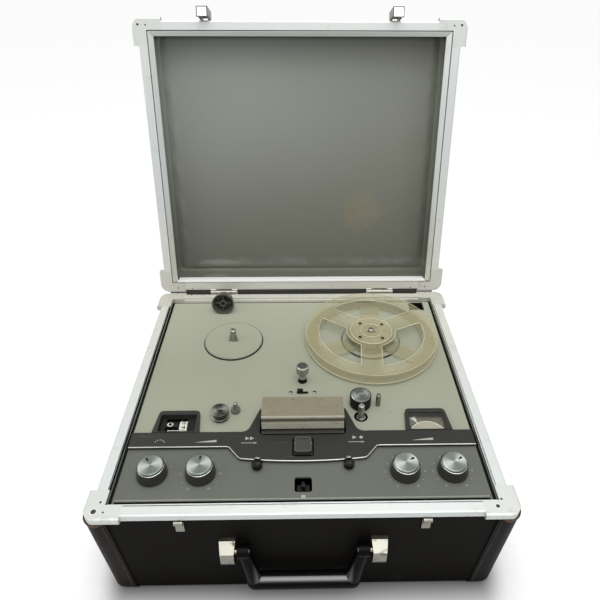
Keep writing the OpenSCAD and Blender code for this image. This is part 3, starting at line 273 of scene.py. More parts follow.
def metalWear(at, dull, clean, grimy):
    streak = at.stretch(6, 6, 200).noise(30, 3) * 0.6 + at.noise(700, 2) * 0.4
    grime = at.patches(45, 6, 0.7, 0.54, 0.2)
    dent = at.cells(70).step(0.10, 0.15)
    forward = 1 - at.part(1).step(*freshMetal["depth"])
    fresh = at.part(2).step(*freshMetal["height"]).larger(forward)  # the metal by the hinges has dulled
    tone = (grime * 0.4).mix(fresh.mix(dull, clean), grimy)
    rough = 0.32 + streak * 0.14 + grime * 0.15 + (1 - fresh) * 0.08
    return finish(riveted(at, tone), rough, streak * 0.3 + dent * 0.4, 0.00008)


sillHighlightPlace = {"behind": (0.1925, 0.1935), "under": (0.155, 0.158), "upward": (0.55, 0.65)}


def railMetal(at):
    wear = metalWear(at, rgb(216, 215, 206), rgb(214, 218, 215), rgb(172, 169, 156))
    sillHighlight = at.facing(2).step(*sillHighlightPlace["upward"]) * at.part(1).step(*sillHighlightPlace["behind"])
    sillHighlight = sillHighlight * (1 - at.part(2).step(*sillHighlightPlace["under"]))
    wear["Base Color"] = sillHighlight.mix(wear["Base Color"], rgb(255, 255, 252))  # painted highlight: upward faces of the lid's lower trim drawn white as if lit
    wear["Metallic"] = 0.5 - sillHighlight * 0.5
    return wear


def castMetal(at):
    return metalWear(at, rgb(204, 203, 193), rgb(210, 213, 208), rgb(150, 148, 136))


rearDeckPaintedLight = (0.02, 0.17)


def deckPaint(at):
    cloud = at.noise(7, 4, 0.55)
    speck = 1 - at.cells(240).step(0.035, 0.06)
    chance = at.patches(38, 2, 0.5, 0.58, 0.05)
    smear = at.stretch(1, 2.5, 1).patches(16, 6, 0.7, 0.58, 0.18)
    tone = cloud.mix(rgb(154, 157, 137), rgb(168, 171, 152))
    # painted light: the rear of the deck drawn lighter against the lid's shadow
    tone = at.part(1).step(*rearDeckPaintedLight).mix(tone, rgb(176, 180, 160))
    tone = (smear * 0.3).mix(tone, rgb(134, 132, 112))
    tone = (speck * chance * 0.5).mix(tone, rgb(92, 90, 76))
    tone = at.facing(2).step(0.3, 0.6).mix(rgb(26, 26, 23), tone)  # painted shade: upright cut faces drawn dark, as the gaps they face are in shade
    return finish(tone, 0.4 + cloud * 0.14 + smear * 0.1, at.noise(900, 3), 0.00005)


def panelPaint(at):
    cloud = at.noise(10, 4, 0.55)
    smear = at.stretch(1, 2, 1).patches(22, 6, 0.7, 0.55, 0.2)
    tone = cloud.mix(rgb(96, 99, 91), rgb(108, 111, 102))
    tone = (smear * 0.4).mix(tone, rgb(90, 90, 81))
    return finish(tone, 0.4 + cloud * 0.16, at.noise(900, 3), 0.00006)


def platePlastic(at):
    cloud = at.noise(18, 5, 0.6)
    scratch = at.stretch(1, 30, 1).patches(26, 4, 0.6, 0.66, 0.05)
    # painted shade: the plate drawn darker to the right, against the sheen that falls there
    tone = at.part(0).step(*acrossCase).mix(rgb(48, 49, 45), rgb(42, 43, 39))
    tone = (cloud * 0.25).mix(tone, rgb(40, 40, 37))
    tone = (scratch * 0.3).mix(tone, rgb(112, 111, 103))
    return finish(tone, 0.4 + cloud * 0.16, at.noise(1200, 2), 0.00003)


coverBand = {"foot": 0.1292, "groove": (0.1386, 0.1454), "soft": 0.0004}


def coverPaint(at):
    cloud = at.noise(26, 5, 0.6)
    thin = at.stretch(1, 9, 3).shift(0.3, 0.1, 0).patches(70, 5, 0.65, 0.57, 0.07)
    slant = at.stretch(5, 2, 1).patches(90, 4, 0.65, 0.6, 0.05)
    scuff = thin * 0.6 + slant * 0.6
    front = (0 - at.facing(1)).step(0.4, 0.9)  # painted highlight: faces turned to the front are drawn paler
    tone = front.mix(cloud.mix(rgb(128, 122, 101), rgb(146, 140, 117)), rgb(196, 193, 174))
    height, soft = at.part(2), coverBand["soft"]
    low, high = (height.above(level, soft) for level in coverBand["groove"])
    # painted shade in the recessed groove across the front
    tone = (low * (1 - high) * front * 0.9).mix(tone, rgb(98, 93, 77))
    # painted shade: the legs below the foot line, under the lip, are drawn dark
    tone = height.above(coverBand["foot"], soft).mix(rgb(50, 49, 43), tone)
    tone = (scuff * 0.6).mix(tone, rgb(92, 87, 70))
    return finish(tone, 0.42 + cloud * 0.15, at.noise(800, 3) * 0.5 - scuff * 0.5, 0.00006)


lining = {"half": (193.6, 173.6), "face": 175.0, "bubble": (-130, 163, 30, 6, 3.6), "steps": (150, 134)}
topEdge = (lidPose @ Vector((0, -lining["half"][1], lining["face"]))).z * mm
liningTone = {
    "height": (0.13, 0.46), "shade": (topEdge - 0.013, topEdge - 0.004),
    "stain": (0.091, 0.234), "stainEdge": (0.022, 0.036),
    "bubble": (-0.130, 0.150), "bubbleHalf": (0.034, 0.0085),
    "streakFoot": (0.144, 0.152), "streakTop": (0.153, 0.165), "streakLeft": (-0.12, -0.08),
}


def liningVinyl(at):
    has = liningTone
    x, z = at.part(0), at.part(2)
    grain = at.cells(520, "SMOOTH_F1") * 0.8 + at.noise(1300, 2) * 0.4
    cloud = at.noise(5, 5, 0.55)
    rub = at.patches(28, 6, 0.7, 0.6, 0.12)
    # painted light: the lining is drawn lighter towards the top and the left
    upper = x.step(*acrossCase).mix(rgb(164, 168, 161), rgb(142, 145, 134))
    tone = z.step(*has["height"]).mix(rgb(108, 109, 98), upper)
    tone = (cloud * 0.25).mix(tone, rgb(118, 118, 108))
    tone = (z.step(*has["shade"]) * 0.85).mix(tone, rgb(44, 45, 42))  # beneath the trim
    tone = (rub * 0.15).mix(tone, rgb(132, 131, 121))
    streak = z.step(*has["streakFoot"]) * (1 - z.step(*has["streakTop"]))  # painted highlight: a light streak above the lower edge
    streak = streak * x.step(*has["streakLeft"]) * at.noise(24, 6, 0.6).step(0.25, 0.75)
    tone = (streak * 0.6).mix(tone, rgb(160, 160, 151))
    wide, high = has["bubbleHalf"]
    # painted highlight on the loose bubble
    loose = at.shift(-has["bubble"][0], 0, -has["bubble"][1]).stretch(1 / wide, 0, 1 / high).length()
    tone = ((1 - loose.step(0.85, 1.05)) * 0.3).mix(tone, rgb(158, 158, 149))
    away = at.shift(-has["stain"][0], 0, -has["stain"][1]).stretch(1, 0, 1).length()
    edge = away + (at.noise(70, 5, 0.65) - 0.5) * 0.032
    mottle = 0.35 + at.noise(130, 5, 0.7).step(0.4, 0.65) * 0.65
    stain = (1 - edge.step(*has["stainEdge"])) * mottle  # round, low on the right
    tone = (stain * 0.62).mix(tone, rgb(141, 132, 109))
    return finish(tone, 0.46 + cloud * 0.15 + stain * 0.15, grain, 0.0002)


def reelPlastic(at):
    haze = at.noise(40, 5, 0.6)
    away = at.radius(reel["x"], reel["y"])
    wave = (away * 2600).sine() * 0.5 + 0.5
    core = 1 - away.above(reel["core"] * mm, 1.5 * mm)  # the hub is the thickest part, so less clear; its lighter colour is partly a painted highlight
    flange = haze.mix(rgb(188, 177, 132), rgb(212, 204, 166))
    return {
        "Base Color": core.mix(flange, rgb(222, 214, 174)),
        "Roughness": 0.2 + haze * 0.16,
        "Alpha": 0.14 + haze * 0.16 + core * 0.1,
        "Bump": (wave * 0.3 + haze, 0.00005),
    }


def spunFace(x, y, dark=rgb(112, 118, 112), light=rgb(186, 192, 187)):  # turned metal round an upright axis, with its sheen painted in as light and dark sectors
    def build(at):
        lobes = ((at.bearing(x, y) * 2 + 0.9).sine() * 0.5 + 0.5) ** 2.0
        ring = (at.radius(x, y) * 11000).sine()
        return {
            "Base Color": lobes.mix(dark, light),
            "Roughness": 0.3 + at.noise(300, 3) * 0.14,
            "Bump": (ring, 0.00001),
        }
    return build


def turnedAlloy(at):
    grain = at.noise(2600, 2)
    return {"Roughness": 0.22 + grain * 0.16, "Bump": (grain, 0.00003)}


def blackGloss(at):
    cloud = at.noise(60, 5, 0.6)
    return {"Roughness": 0.14 + cloud * 0.22, "Bump": (at.noise(500, 3), 0.00003)}


grip = {"foot": footOf("handle") * mm, "thick": 0.018, "palm": (0.8, 0.94), "ends": (0.046, 0.052)}


def handleBlack(at):  # hands have polished the grip's upper side
    over = at.part(2).step(*[grip["foot"] + grip["thick"] * share for share in grip["palm"]])
    return {
        "Roughness": 0.12 + at.noise(60, 5, 0.6) * 0.14,
        "Coat Weight": over * (1 - at.part(0).size().step(*grip["ends"])),
    }


def wornNickel(at):
    cloud = at.noise(80, 6, 0.65)
    pit = cloud.step(0.56, 0.68)
    rough = 0.2 + cloud * 0.2 + pit * 0.2
    return finish((pit * 0.7).mix(rgb(146, 145, 135), rgb(86, 81, 69)), rough, cloud, 0.00008)


def turnedSteel(at):
    cloud = at.noise(120, 5, 0.6)
    return {
        "Base Color": cloud.mix(rgb(132, 131, 125), rgb(180, 179, 172)),
        "Roughness": 0.26 + cloud * 0.18,
    }


def dialCard(at):
    tone = at.noise(90, 5, 0.6).mix(rgb(108, 106, 89), rgb(136, 133, 113))
    over = at.part(2).above((dial["z"] + 0.5) * mm, 0.2 * mm)
    card = at.facing(2).step(0.6, 0.8) * (1 - over)
    return {"Base Color": card.mix(rgb(18, 18, 16), tone)}  # faces other than the card's top are drawn black


looks = {
    "case_cover": material("caseCover", rgb(30, 28, 25), build=leathercloth, shine=0.07),
    "corner_leather": material("cornerLeather", rgb(42, 35, 30), build=wrapLeather, shine=0.16),
    "rail_metal": material("railMetal", rgb(220, 221, 218), 0.36, 0.5, build=railMetal),
    "fittings": material("fittings", rgb(205, 203, 196), 0.25, 1.0, build=wornNickel),
    "timber": material("timber", rgb(30, 27, 24), 0.7, shine=0.1),
    "deck_paint": material("deckPaint", rgb(166, 167, 150), 0.42, build=deckPaint, shine=0.3),
    "panel_paint": material("panelPaint", rgb(108, 110, 102), 0.42, build=panelPaint, shine=0.3),
    "plate_plastic": material("platePlastic", rgb(66, 66, 62), 0.4, build=platePlastic, shine=0.25),
    "cover_paint": material("coverPaint", rgb(140, 134, 112), 0.45, build=coverPaint, shine=0.35),
    "machine_steel": material("machineSteel", rgb(165, 164, 158), 0.3, 1.0, build=turnedSteel),
    "bare_alloy": material("bareAlloy", rgb(176, 177, 171), 0.26, 1.0, build=turnedAlloy),
    "black_plastic": material("blackPlastic", rgb(8, 8, 7), 0.24, build=blackGloss, shine=0.24),
    "knob_plastic": material("knobPlastic", rgb(54, 55, 49), 0.42, build=blackGloss, shine=0.3),
    "dark_plastic": material("darkPlastic", rgb(22, 22, 21), 0.5, shine=0.2),
    "white_plastic": material("whitePlastic", rgb(226, 225, 214), 0.45, shine=0.3),
    "reel_plastic": material("reelPlastic", rgb(164, 154, 112), 0.22, build=reelPlastic, shine=0.4),
    "lining_vinyl": material("liningVinyl", rgb(104, 104, 97), 0.5, build=liningVinyl, shine=0.25),
    "roller_rubber": material("rollerRubber", rgb(24, 24, 23), 0.65, shine=0.2),
    "dial_card": material("dialCard", rgb(118, 115, 97), 0.6, build=dialCard, shine=0.1),
    "window_glass": material("windowGlass", rgb(240, 244, 240), 0.06, shine=0.06, Alpha=0.02),
    "motor_paint": material("motorPaint", rgb(90, 94, 94), 0.45),
    "pulley_brass": material("pulleyBrass", rgb(200, 168, 98), 0.3, 1.0),
}
markPaint = material("markPaint", rgb(214, 213, 202), 0.55, shine=0.2)
panelInk = material("panelInk", rgb(176, 176, 166), 0.55, shine=0.2)
darkMark = material("darkMark", rgb(26, 26, 24), 0.5, shine=0.1)
gapShade = material("gapShade", rgb(12, 12, 11), 0.8, shine=0.0)
brightEdge = material("brightEdge", rgb(176, 177, 172), 0.3, 1.0)
castLook = material("castMetal", rgb(205, 203, 188), 0.36, 0.5, build=castMetal)
guideSteel = material("guideSteel", rgb(136, 135, 128), 0.25, 1.0, build=turnedAlloy)
looseKnob = material("looseKnob", rgb(86, 86, 79), 0.42, build=blackGloss, shine=0.3)
latchFace = material("latchFace", rgb(224, 225, 220), 0.24, 1.0)
buttonTop = material("buttonTop", rgb(62, 64, 60), 0.34, shine=0.35)
polish = {"Coat IOR": 1.8, "Coat Roughness": 0.18}
handleLook = material("handleBlack", rgb(9, 9, 8), build=handleBlack, shine=0.05, **polish)
hub, roller = middleOf("pinch_hub"), middleOf("guide_roller")
spunHub = material("spunHub", rgb(190, 194, 188), 0.3, 1.0, build=spunFace(hub.x, hub.y))
rollerSheen = spunFace(roller.x, roller.y, rgb(70, 70, 66), rgb(158, 157, 150))
spunRoller = material("spunRoller", rgb(150, 150, 144), 0.3, 1.0, build=rollerSheen)

for part in frame["record"]["subparts"]:
    cad[part["node"]].data.materials.clear()
    cad[part["node"]].data.materials.append(looks[part["material_slot"]])
special = {
    "base_corners": castLook, "lid_corners": castLook, "guide_posts": guideSteel, "guide_roller": spunRoller,
    "pinch_hub": spunHub, "spare_knob": looseKnob, "latch_left": latchFace, "latch_right": latchFace,
    "record_button": buttonTop, "handle": handleLook,
}
for node, look in special.items():
    cad[node].data.materials[0] = look
print("materials set")

# Camera, light and floor

scene = bpy.context.scene
lens = {
    "place": (-0.0009, -0.5127, 0.6132), "turn": (57.25, -0.31, -1.06),
    "focal": 33.55, "sensor": 36, "shift": (-0.0193, -0.042), "nearest": 0.01,
}
camera = bpy.data.objects.new("camera", bpy.data.cameras.new("camera"))
camera.location = lens["place"]
camera.rotation_euler = [math.radians(a) for a in lens["turn"]]
camera.data.lens = lens["focal"]
camera.data.sensor_width = lens["sensor"]
camera.data.shift_x, camera.data.shift_y = lens["shift"]
camera.data.clip_start = lens["nearest"]
scene.collection.objects.link(camera)
scene.camera = camera

lamps = {
    "above": {"place": (0.1, -0.1, 1.7), "aim": (0, 0.05, 0.1), "size": 1.5, "power": 15},
    "front": {"place": (0.2, -1.3, 1.9), "aim": (0, 0.25, 0.45), "size": 1.4, "power": 13},
    "left": {"place": (-1.5, -0.2, 0.9), "aim": (0, 0, 0.1), "size": 1.2, "power": 4},
}
for name, lamp in lamps.items():
    light = bpy.data.objects.new(name, bpy.data.lights.new(name, "AREA"))
    light.data.size = lamp["size"]
    light.data.energy = lamp["power"]
    light.location = lamp["place"]
    aim = Vector(lamp["aim"]) - Vector(lamp["place"])
    light.rotation_euler = aim.to_track_quat("-Z", "Y").to_euler()
    scene.collection.objects.link(light)


def blend(tree, share, first, second, output):  # two shaders mixed into an output node
    both = tree.nodes.new("ShaderNodeMixShader")
    tree.links.new(share.socket, both.inputs[0])
    tree.links.new(first.outputs[0], both.inputs[1])
    tree.links.new(second.outputs[0], both.inputs[2])
    tree.links.new(both.outputs[0], tree.nodes[output].inputs["Surface"])


studio = {"tint": (0.95, 0.97, 1.0, 1), "strength": 0.35}
world = bpy.data.worlds.new("studio")
scene.world = world
world.use_nodes = True
sky = world.node_tree
rays = sky.nodes.new("ShaderNodeLightPath")
dim = sky.nodes["Background"]
dim.inputs["Color"].default_value = studio["tint"]
dim.inputs["Strength"].default_value = studio["strength"]
white = sky.nodes.new("ShaderNodeBackground")
white.inputs["Color"].default_value = (1, 1, 1, 1)
seen = Field(sky, rays.outputs["Is Camera Ray"])
for ray in ("Is Glossy Ray", "Is Transmission Ray"):
    seen = seen.larger(Field(sky, rays.outputs[ray]))
blend(sky, seen, dim, white, "World Output")

paper = {
    "size": 14, "glow": 1.12, "share": 0.8,
    "foot": (0.19, 0.17), "narrow": 1.6, "dark": 0.06, "fade": 0.13,
}


def footGap(at):  # distance from the case's foot, counted faster to the sides
    x = (at.part(0).size() - paper["foot"][0]).larger(0.0) * paper["narrow"]
    y = (at.part(1).size() - paper["foot"][1]).larger(0.0)
    return (x ** 2.0 + y ** 2.0) ** 0.5


def paperShade(at):
    return {"Base Color": footGap(at).step(0.0, paper["dark"]).mix(rgb(78, 78, 78), rgb(250, 250, 250))}


def floorPaper():  # paper that burns out to white for the camera, shaded close to the case
    made = material("floorPaper", rgb(250, 250, 250), 0.9, build=paperShade, shine=0.0)
    tree = made.node_tree
    lit = tree.nodes.new("ShaderNodeEmission")
    lit.inputs["Strength"].default_value = paper["glow"]
    at = Field(tree, tree.nodes.new("ShaderNodeTexCoord").outputs["Object"])
    direct = Field(tree, tree.nodes.new("ShaderNodeLightPath").outputs["Is Camera Ray"])
    share = direct * paper["share"] * footGap(at).step(0.0, paper["fade"])
    blend(tree, share, tree.nodes["Principled BSDF"], lit, "Material Output")
    return made


bpy.ops.mesh.primitive_plane_add(size=paper["size"])
floor = bpy.context.object
floor.name = "floor"
floor.data.materials.append(floorPaper())

scene.view_settings.view_transform = "Standard"
print("camera, light and floor set")

# Making pieces, in millimetres


def moved(shape, place):
    bmesh.ops.transform(shape, matrix=place, verts=shape.verts)
    return shape


def keep(name, shape, slotName, body, look=None, place=None, sharp=35):
    if place:
        moved(shape, place)
    bmesh.ops.recalc_face_normals(shape, faces=shape.faces)
    bmesh.ops.scale(shape, vec=(mm, mm, mm), verts=shape.verts)
    limit = math.radians(sharp)
    for f in shape.faces:
        f.smooth = True
    for e in shape.edges:
        e.smooth = len(e.link_faces) == 2 and e.calc_face_angle(0) < limit
    mesh = bpy.data.meshes.new(name)
    shape.to_mesh(mesh)
    shape.free()
    mesh.materials.append(look or looks[slotName])
    made = bpy.data.objects.new(name, mesh)
    scene.collection.objects.link(made)
    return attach(made, body)


def rings(shape, loops, closed=False):  # skin over a row of loops
    rows = [[shape.verts.new(p) for p in loop] for loop in loops]
    pairs = list(zip(rows, rows[1:])) + ([(rows[-1], rows[0])] if closed else [])
    for a, b in pairs:
        for i in range(len(a)):
            j = (i + 1) % len(a)
            shape.faces.new((a[i], a[j], b[j], b[i]))
    if not closed:
        shape.faces.new(rows[0][::-1])
        shape.faces.new(rows[-1])
    return shape


def prism(shape, outline, low, high):
    return rings(shape, [[(x, y, z) for x, y in outline] for z in (low, high)])


def arc(x, y, r, start, end, count):
    return [around(x, y, r, start + (end - start) * i / count) for i in range(count + 1)]


def circle(x, y, r, count):
    return arc(x, y, r, 0, 360, count)[:-1]


def roundedBox(x, y, r, count):  # x and y are the middles of the corners' arcs
    outline = []
    for cx, cy, start in ((1, 1, 0), (-1, 1, 90), (-1, -1, 180), (1, -1, 270)):
        outline += arc(cx * x, cy * y, r, start, start + 90, count)
    return outline


def lathe(shape, profile, x=0, y=0, z=0, turns=48, closed=False):
    loops = [[(px, py, z + h) for px, py in circle(x, y, r, turns)] for r, h in profile]
    return rings(shape, loops, closed)


def hoop(shape, inner, outer, low, high, x=0, y=0, turns=96):  # flat ring
    return lathe(shape, [(inner, low), (outer, low), (outer, high), (inner, high)], x, y, 0, turns, True)


def sweep(shape, path, section, closed=False):
    loops = []
    for i, p in enumerate(path):
        before = path[i - 1] if i or closed else p
        after = path[(i + 1) % len(path)] if i < len(path) - 1 or closed else p
        along = (Vector(after) - Vector(before)).normalized()
        side = Vector((along.y, -along.x, 0)).normalized()
        loops.append([Vector(p) + side * u + Vector((0, 0, v)) for u, v in section])
    return rings(shape, loops, closed)


def wire(shape, outline, z, r, count=8):  # round bead along a closed flat outline
    return sweep(shape, [(x, y, z) for x, y in outline], circle(0, 0, r, count), True)


def slab(shape, low, high, soft=0.0):
    size = Vector(high) - Vector(low)
    middle = (Vector(high) + Vector(low)) / 2
    made = bmesh.ops.create_cube(shape, size=1.0)["verts"]
    bmesh.ops.scale(shape, vec=size, verts=made)
    bmesh.ops.translate(shape, vec=middle, verts=made)
    if soft:
        edges = list({e for v in made for e in v.link_edges})
        bmesh.ops.bevel(shape, geom=edges, offset=soft, segments=3, affect="EDGES", profile=0.5)
    return shape


def repeatGroup():
    group = bpy.data.node_groups.new("repeatOnPoints", "GeometryNodeTree")
    face = group.interface
    face.new_socket(name="Geometry", in_out="INPUT", socket_type="NodeSocketGeometry")
    names = {}
    for name, kind in (("Template", "Object"), ("Look", "Material"), ("Uneven", "Float"), ("Seed", "Int")):
        socket = face.new_socket(name=name, in_out="INPUT", socket_type="NodeSocket" + kind)
        names[name] = socket.identifier
    face.new_socket(name="Geometry", in_out="OUTPUT", socket_type="NodeSocketGeometry")
    add, link = group.nodes.new, group.links.new
    start, end = add("NodeGroupInput"), add("NodeGroupOutput")
    template = add("GeometryNodeObjectInfo")
    turn = add("GeometryNodeInputNamedAttribute")
    turn.data_type = "FLOAT_VECTOR"
    turn.inputs["Name"].default_value = "turn"
    scatter = add("GeometryNodeInstanceOnPoints")
    spread = add("FunctionNodeRandomValue")
    spread.data_type = "FLOAT_VECTOR"
    twist = add("GeometryNodeRotateInstances")
    solid = add("GeometryNodeRealizeInstances")
    paint = add("GeometryNodeSetMaterial")
    for index, way in enumerate((-1, 1)):  # least and greatest uneven turn
        limit = add("ShaderNodeVectorMath")
        limit.operation = "SCALE"
        limit.inputs[0].default_value = (0, 0, way)
        link(start.outputs["Uneven"], limit.inputs["Scale"])
        link(limit.outputs[0], spread.inputs[index])
    wires = [
        (start, "Geometry", scatter, "Points"), (start, "Template", template, "Object"),
        (template, "Geometry", scatter, "Instance"), (turn, "Attribute", scatter, "Rotation"),
        (start, "Seed", spread, "Seed"), (scatter, "Instances", twist, "Instances"),
        (spread, 0, twist, "Rotation"), (twist, "Instances", solid, "Geometry"),
        (solid, "Geometry", paint, "Geometry"), (start, "Look", paint, "Material"),
        (paint, "Geometry", end, "Geometry"),
    ]
    for source, out, target, into in wires:
        link(source.outputs[out], target.inputs[into])
    return group, names


repeatTree, repeatNames = repeatGroup()


def meshOf(thing):  # plain mesh of an object as its modifiers or its curve leave it
    bpy.context.view_layer.update()
    return bpy.data.meshes.new_from_object(thing.evaluated_get(bpy.context.evaluated_depsgraph_get()))


def repeat(name, shape, spots, slotName, body, look=None, uneven=0.0, seed=1, place=None):
    template = keep(name + "Template", shape, slotName, body, look)
    mesh = bpy.data.meshes.new(name)
    places = [Matrix.LocRotScale(p, Euler(t), None) for p, t in spots]
    if place:
        places = [place @ m for m in places]
    mesh.from_pydata([m.translation * mm for m in places], [], [])
    turns = mesh.attributes.new("turn", "FLOAT_VECTOR", "POINT")
    for i, m in enumerate(places):
        turns.data[i].vector = m.to_euler()
    points = bpy.data.objects.new(name + "Points", mesh)
    scene.collection.objects.link(points)
    step = points.modifiers.new("repeat", "NODES")
    step.node_group = repeatTree
    settings = {"Template": template, "Look": look or looks[slotName], "Uneven": uneven, "Seed": seed}
    for key, value in settings.items():
        step[repeatNames[key]] = value
    made = bpy.data.objects.new(name, meshOf(points))
    points.modifiers.remove(step)
    bpy.data.objects.remove(points)
    bpy.data.objects.remove(template)
    scene.collection.objects.link(made)
    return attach(made, body)


def numeral(digits, size):
    curve = bpy.data.curves.new("digit", "FONT")
    curve.body = digits
    curve.size = size
    curve.align_x = "CENTER"
    curve.align_y = "CENTER"
    holder = bpy.data.objects.new("digit", curve)
    scene.collection.objects.link(holder)
    mesh = meshOf(holder)
    bpy.data.objects.remove(holder)
    shape = bmesh.new()
    shape.from_mesh(mesh)
    bpy.data.meshes.remove(mesh)
    return shape


def joined(shapes):
    whole = bmesh.new()
    for shape in shapes:
        mesh = bpy.data.meshes.new("part")
        shape.to_mesh(mesh)
        shape.free()
        whole.from_mesh(mesh)
        bpy.data.meshes.remove(mesh)
    return whole


# Corner wraps: leather that flares from the foot to the casting, with a roll under the casting

corners = [(x, y) for x in (-1, 1) for y in (-1, 1)]
wrap = {
    "out": (203.9, 183.9), "flare": (10.5, 5.2),  # half width and half depth at the foot, and what they gain
    "round": (11.0, 14.0), "seam": (179.5, 193.0), "side": (160.0, 172.0),  # at the foot and at the top
    "inner": (202.6, 182.6), "core": (196, 176), "lap": 0.5, "roll": 2.4, "sink": 1.2,
    "levels": (0.6, 2.0, 4.5, 10, 20, 40, 70, 100), "lastLevel": 5, "tuck": 2.6, "tuckHigh": 4.5,
}
lidShell = {"high": 52, "deep": 44.0}


def wrapPlan(share):  # half sizes, corner radius and both ends of the leather at a share of the height
    w, d = (out + flare * share for out, flare in zip(wrap["out"], wrap["flare"]))
    return w, d, between(wrap["round"], share), between(wrap["seam"], share), between(wrap["side"], share)


def wrapLine(share, grow=0.0):  # plan of one corner
    w, d, r, seam, side = wrapPlan(share)
    outX, outY = (out + wrap["lap"] + grow for out in wrap["out"])
    line = [(seam, wrap["inner"][1]), (seam, outY)] + arc(w + grow - r, d + grow - r, r, 90, 0, 10)
    return line + [(outX, side), (wrap["inner"][0], side)]


def wraps(name, body, height, place=None):
    shape = bmesh.new()
    levels = [z for z in (*wrap["levels"], height - wrap["lastLevel"], height) if z <= height]
    for x, y in corners:
        loops = []
        for z in levels:
            tuck = wrap["tuck"] * max(0.0, 1 - z / wrap["tuckHigh"]) ** 2
            line = [(px - tuck, py - tuck) for px, py in wrapLine(z / height)] + [wrap["core"]]
            loops.append([(x * px, y * py, z) for px, py in line])
        rings(shape, loops)
    return keep(name, shape, "corner_leather", body, None, place, 50)


baseTop, lidDeep = footOf("base_corners"), lidShell["deep"]
lidTop = lidPose @ Matrix.Translation((0, 0, rimMm + lidShell["high"])) @ Matrix.Rotation(math.pi, 4, "X")
dressed = wraps("baseWraps", "case", baseTop)
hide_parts("corner_wraps")
wraps("lidWraps", "lid", lidDeep, lidTop)

rollHide = material("rollHide", rgb(84, 66, 48), 0.5, build=rollLeather, shine=0.25)
rollZ = baseTop - wrap["roll"] - 0.2
shape = bmesh.new()
for x, y in corners:
    path = [(x * px, y * py, rollZ) for px, py in wrapLine(1.0, -wrap["sink"])[1:-1]]
    sweep(shape, path if x * y > 0 else path[::-1], circle(0, 0, wrap["roll"], 10))
keep("cornerRolls", shape, "corner_leather", "case", rollHide)

# Stitches along both seams of each wrap

stitch = {
    "half": (0.25, 0.2, 1.2), "soft": 0.1,
    "pitch": 3.4, "inset": 3.2, "proud": 0.6, "start": 5, "stop": 6,
}
thread = material("thread", rgb(96, 88, 78), 0.7, shine=0.1)


def stitchShape():
    return slab(bmesh.new(), [-v for v in stitch["half"]], stitch["half"], stitch["soft"])


def seams(height):
    spots = []
    lean, sideLean = (math.atan2(wrap[k][1] - wrap[k][0], height) for k in ("seam", "side"))
    outX, outY = wrap["out"]
    inset, proud, lap = stitch["inset"], stitch["proud"], wrap["lap"]
    for i in range(int((height - stitch["start"] - stitch["stop"]) / stitch["pitch"])):
        z = stitch["start"] + (i + 0.5) * stitch["pitch"]
        w, d, r, seam, side = wrapPlan(z / height)
        faceY = outY + proud + (d - outY - lap) * inset / (w - r - seam)
        faceX = outX + proud + (w - outX - lap) * inset / (d - r - side)
        for x, y in corners:
            spots.append(((x * (seam + inset), y * faceY, z), (0, x * lean, 0)))
            spots.append(((x * faceX, y * (side + inset), z), (-y * sideLean, 0, 0)))
    return spots


repeat("baseStitches", stitchShape(), seams(baseTop), "corner_leather", "case", thread)
repeat("lidStitches", stitchShape(), seams(lidDeep), "corner_leather", "lid", thread, place=lidTop)

# Strips between the panel and the front rail: painted shade in the gaps, a painted highlight on the panel's
# edge; painted shade on the side ledges, a painted highlight on the ledge of the lid's trim

edging = {
    "strip": ((-191.5, -173.8, 126.8), (191.5, -172.4, 129.8)),
    "gap": ((-187.5, -167.5, deckMm - 0.2), (187.5, -165.2, deckMm + 0.06)),
    "behindStrip": ((-190.5, -175.2, 126.6), (190.5, -173.9, 127.1)),
    "leftLedge": ((-194.8, -172.6, 126.7), (-192.9, 172.6, 127.06)),
    "rightLedge": ((192.9, -172.6, 126.7), (193.7, 172.6, 127.06)),
    "line": ((-187.5, -164.2, deckMm - 0.2), (187.5, -162.7, deckMm + 0.45)),
    "trim": ((-186.5, 172.6, 136.6), (186.5, 172.95, 146.5)),
}
keep("rimStrips", slab(bmesh.new(), *edging["strip"], 0.25), "rail_metal", "case")
shape = bmesh.new()
for name in ("gap", "behindStrip", "leftLedge", "rightLedge"):
    slab(shape, *edging[name])
keep("frontGap", shape, "dark_plastic", "case", gapShade)
# painted highlight: a light line along the panel's front edge
panelEdge = material("panelEdge", rgb(146, 148, 138), 0.35, shine=0.4)
keep("panelEdge", slab(bmesh.new(), *edging["line"], 0.2), "panel_paint", "case", panelEdge)
# painted highlight: the ledge of the lid's trim drawn white as if lit
trimHighlight = material("trimLedge", rgb(255, 255, 252), 0.4)
keep("trimLedge", slab(bmesh.new(), *edging["trim"]), "rail_metal", "lid", trimHighlight, lidPose)

# Latches: dark edges round the bright face

latch = {
    "x": 121.0, "y": -190.0, "z": 143.0, "rest": -10,
    "face": (113.68, 113.9), "half": 6.8, "depth": (-197.0, -184.8), "line": 1.0,
}
swing = lidPose @ turnAbout(latch["y"], latch["z"], latch["rest"])
for side, x in (("left", -latch["x"]), ("right", latch["x"])):
    shape = bmesh.new()
    left, right = x - latch["half"], x + latch["half"]
    low, high = latch["depth"]
    under, over = latch["face"]
    edge = latch["line"]
    for x0, y0, x1, y1 in ((left, low, right, low + edge), (left, high - edge, right, high),
                           (left, low, left + edge, high), (right - edge, low, right, high)):
        slab(shape, (x0, y0, under), (x1, y1, over))
    keep(side + "LatchEdge", shape, "fittings", side + "_latch", darkMark, swing)

# Dark strip behind the rear rail, between and beside the hinges

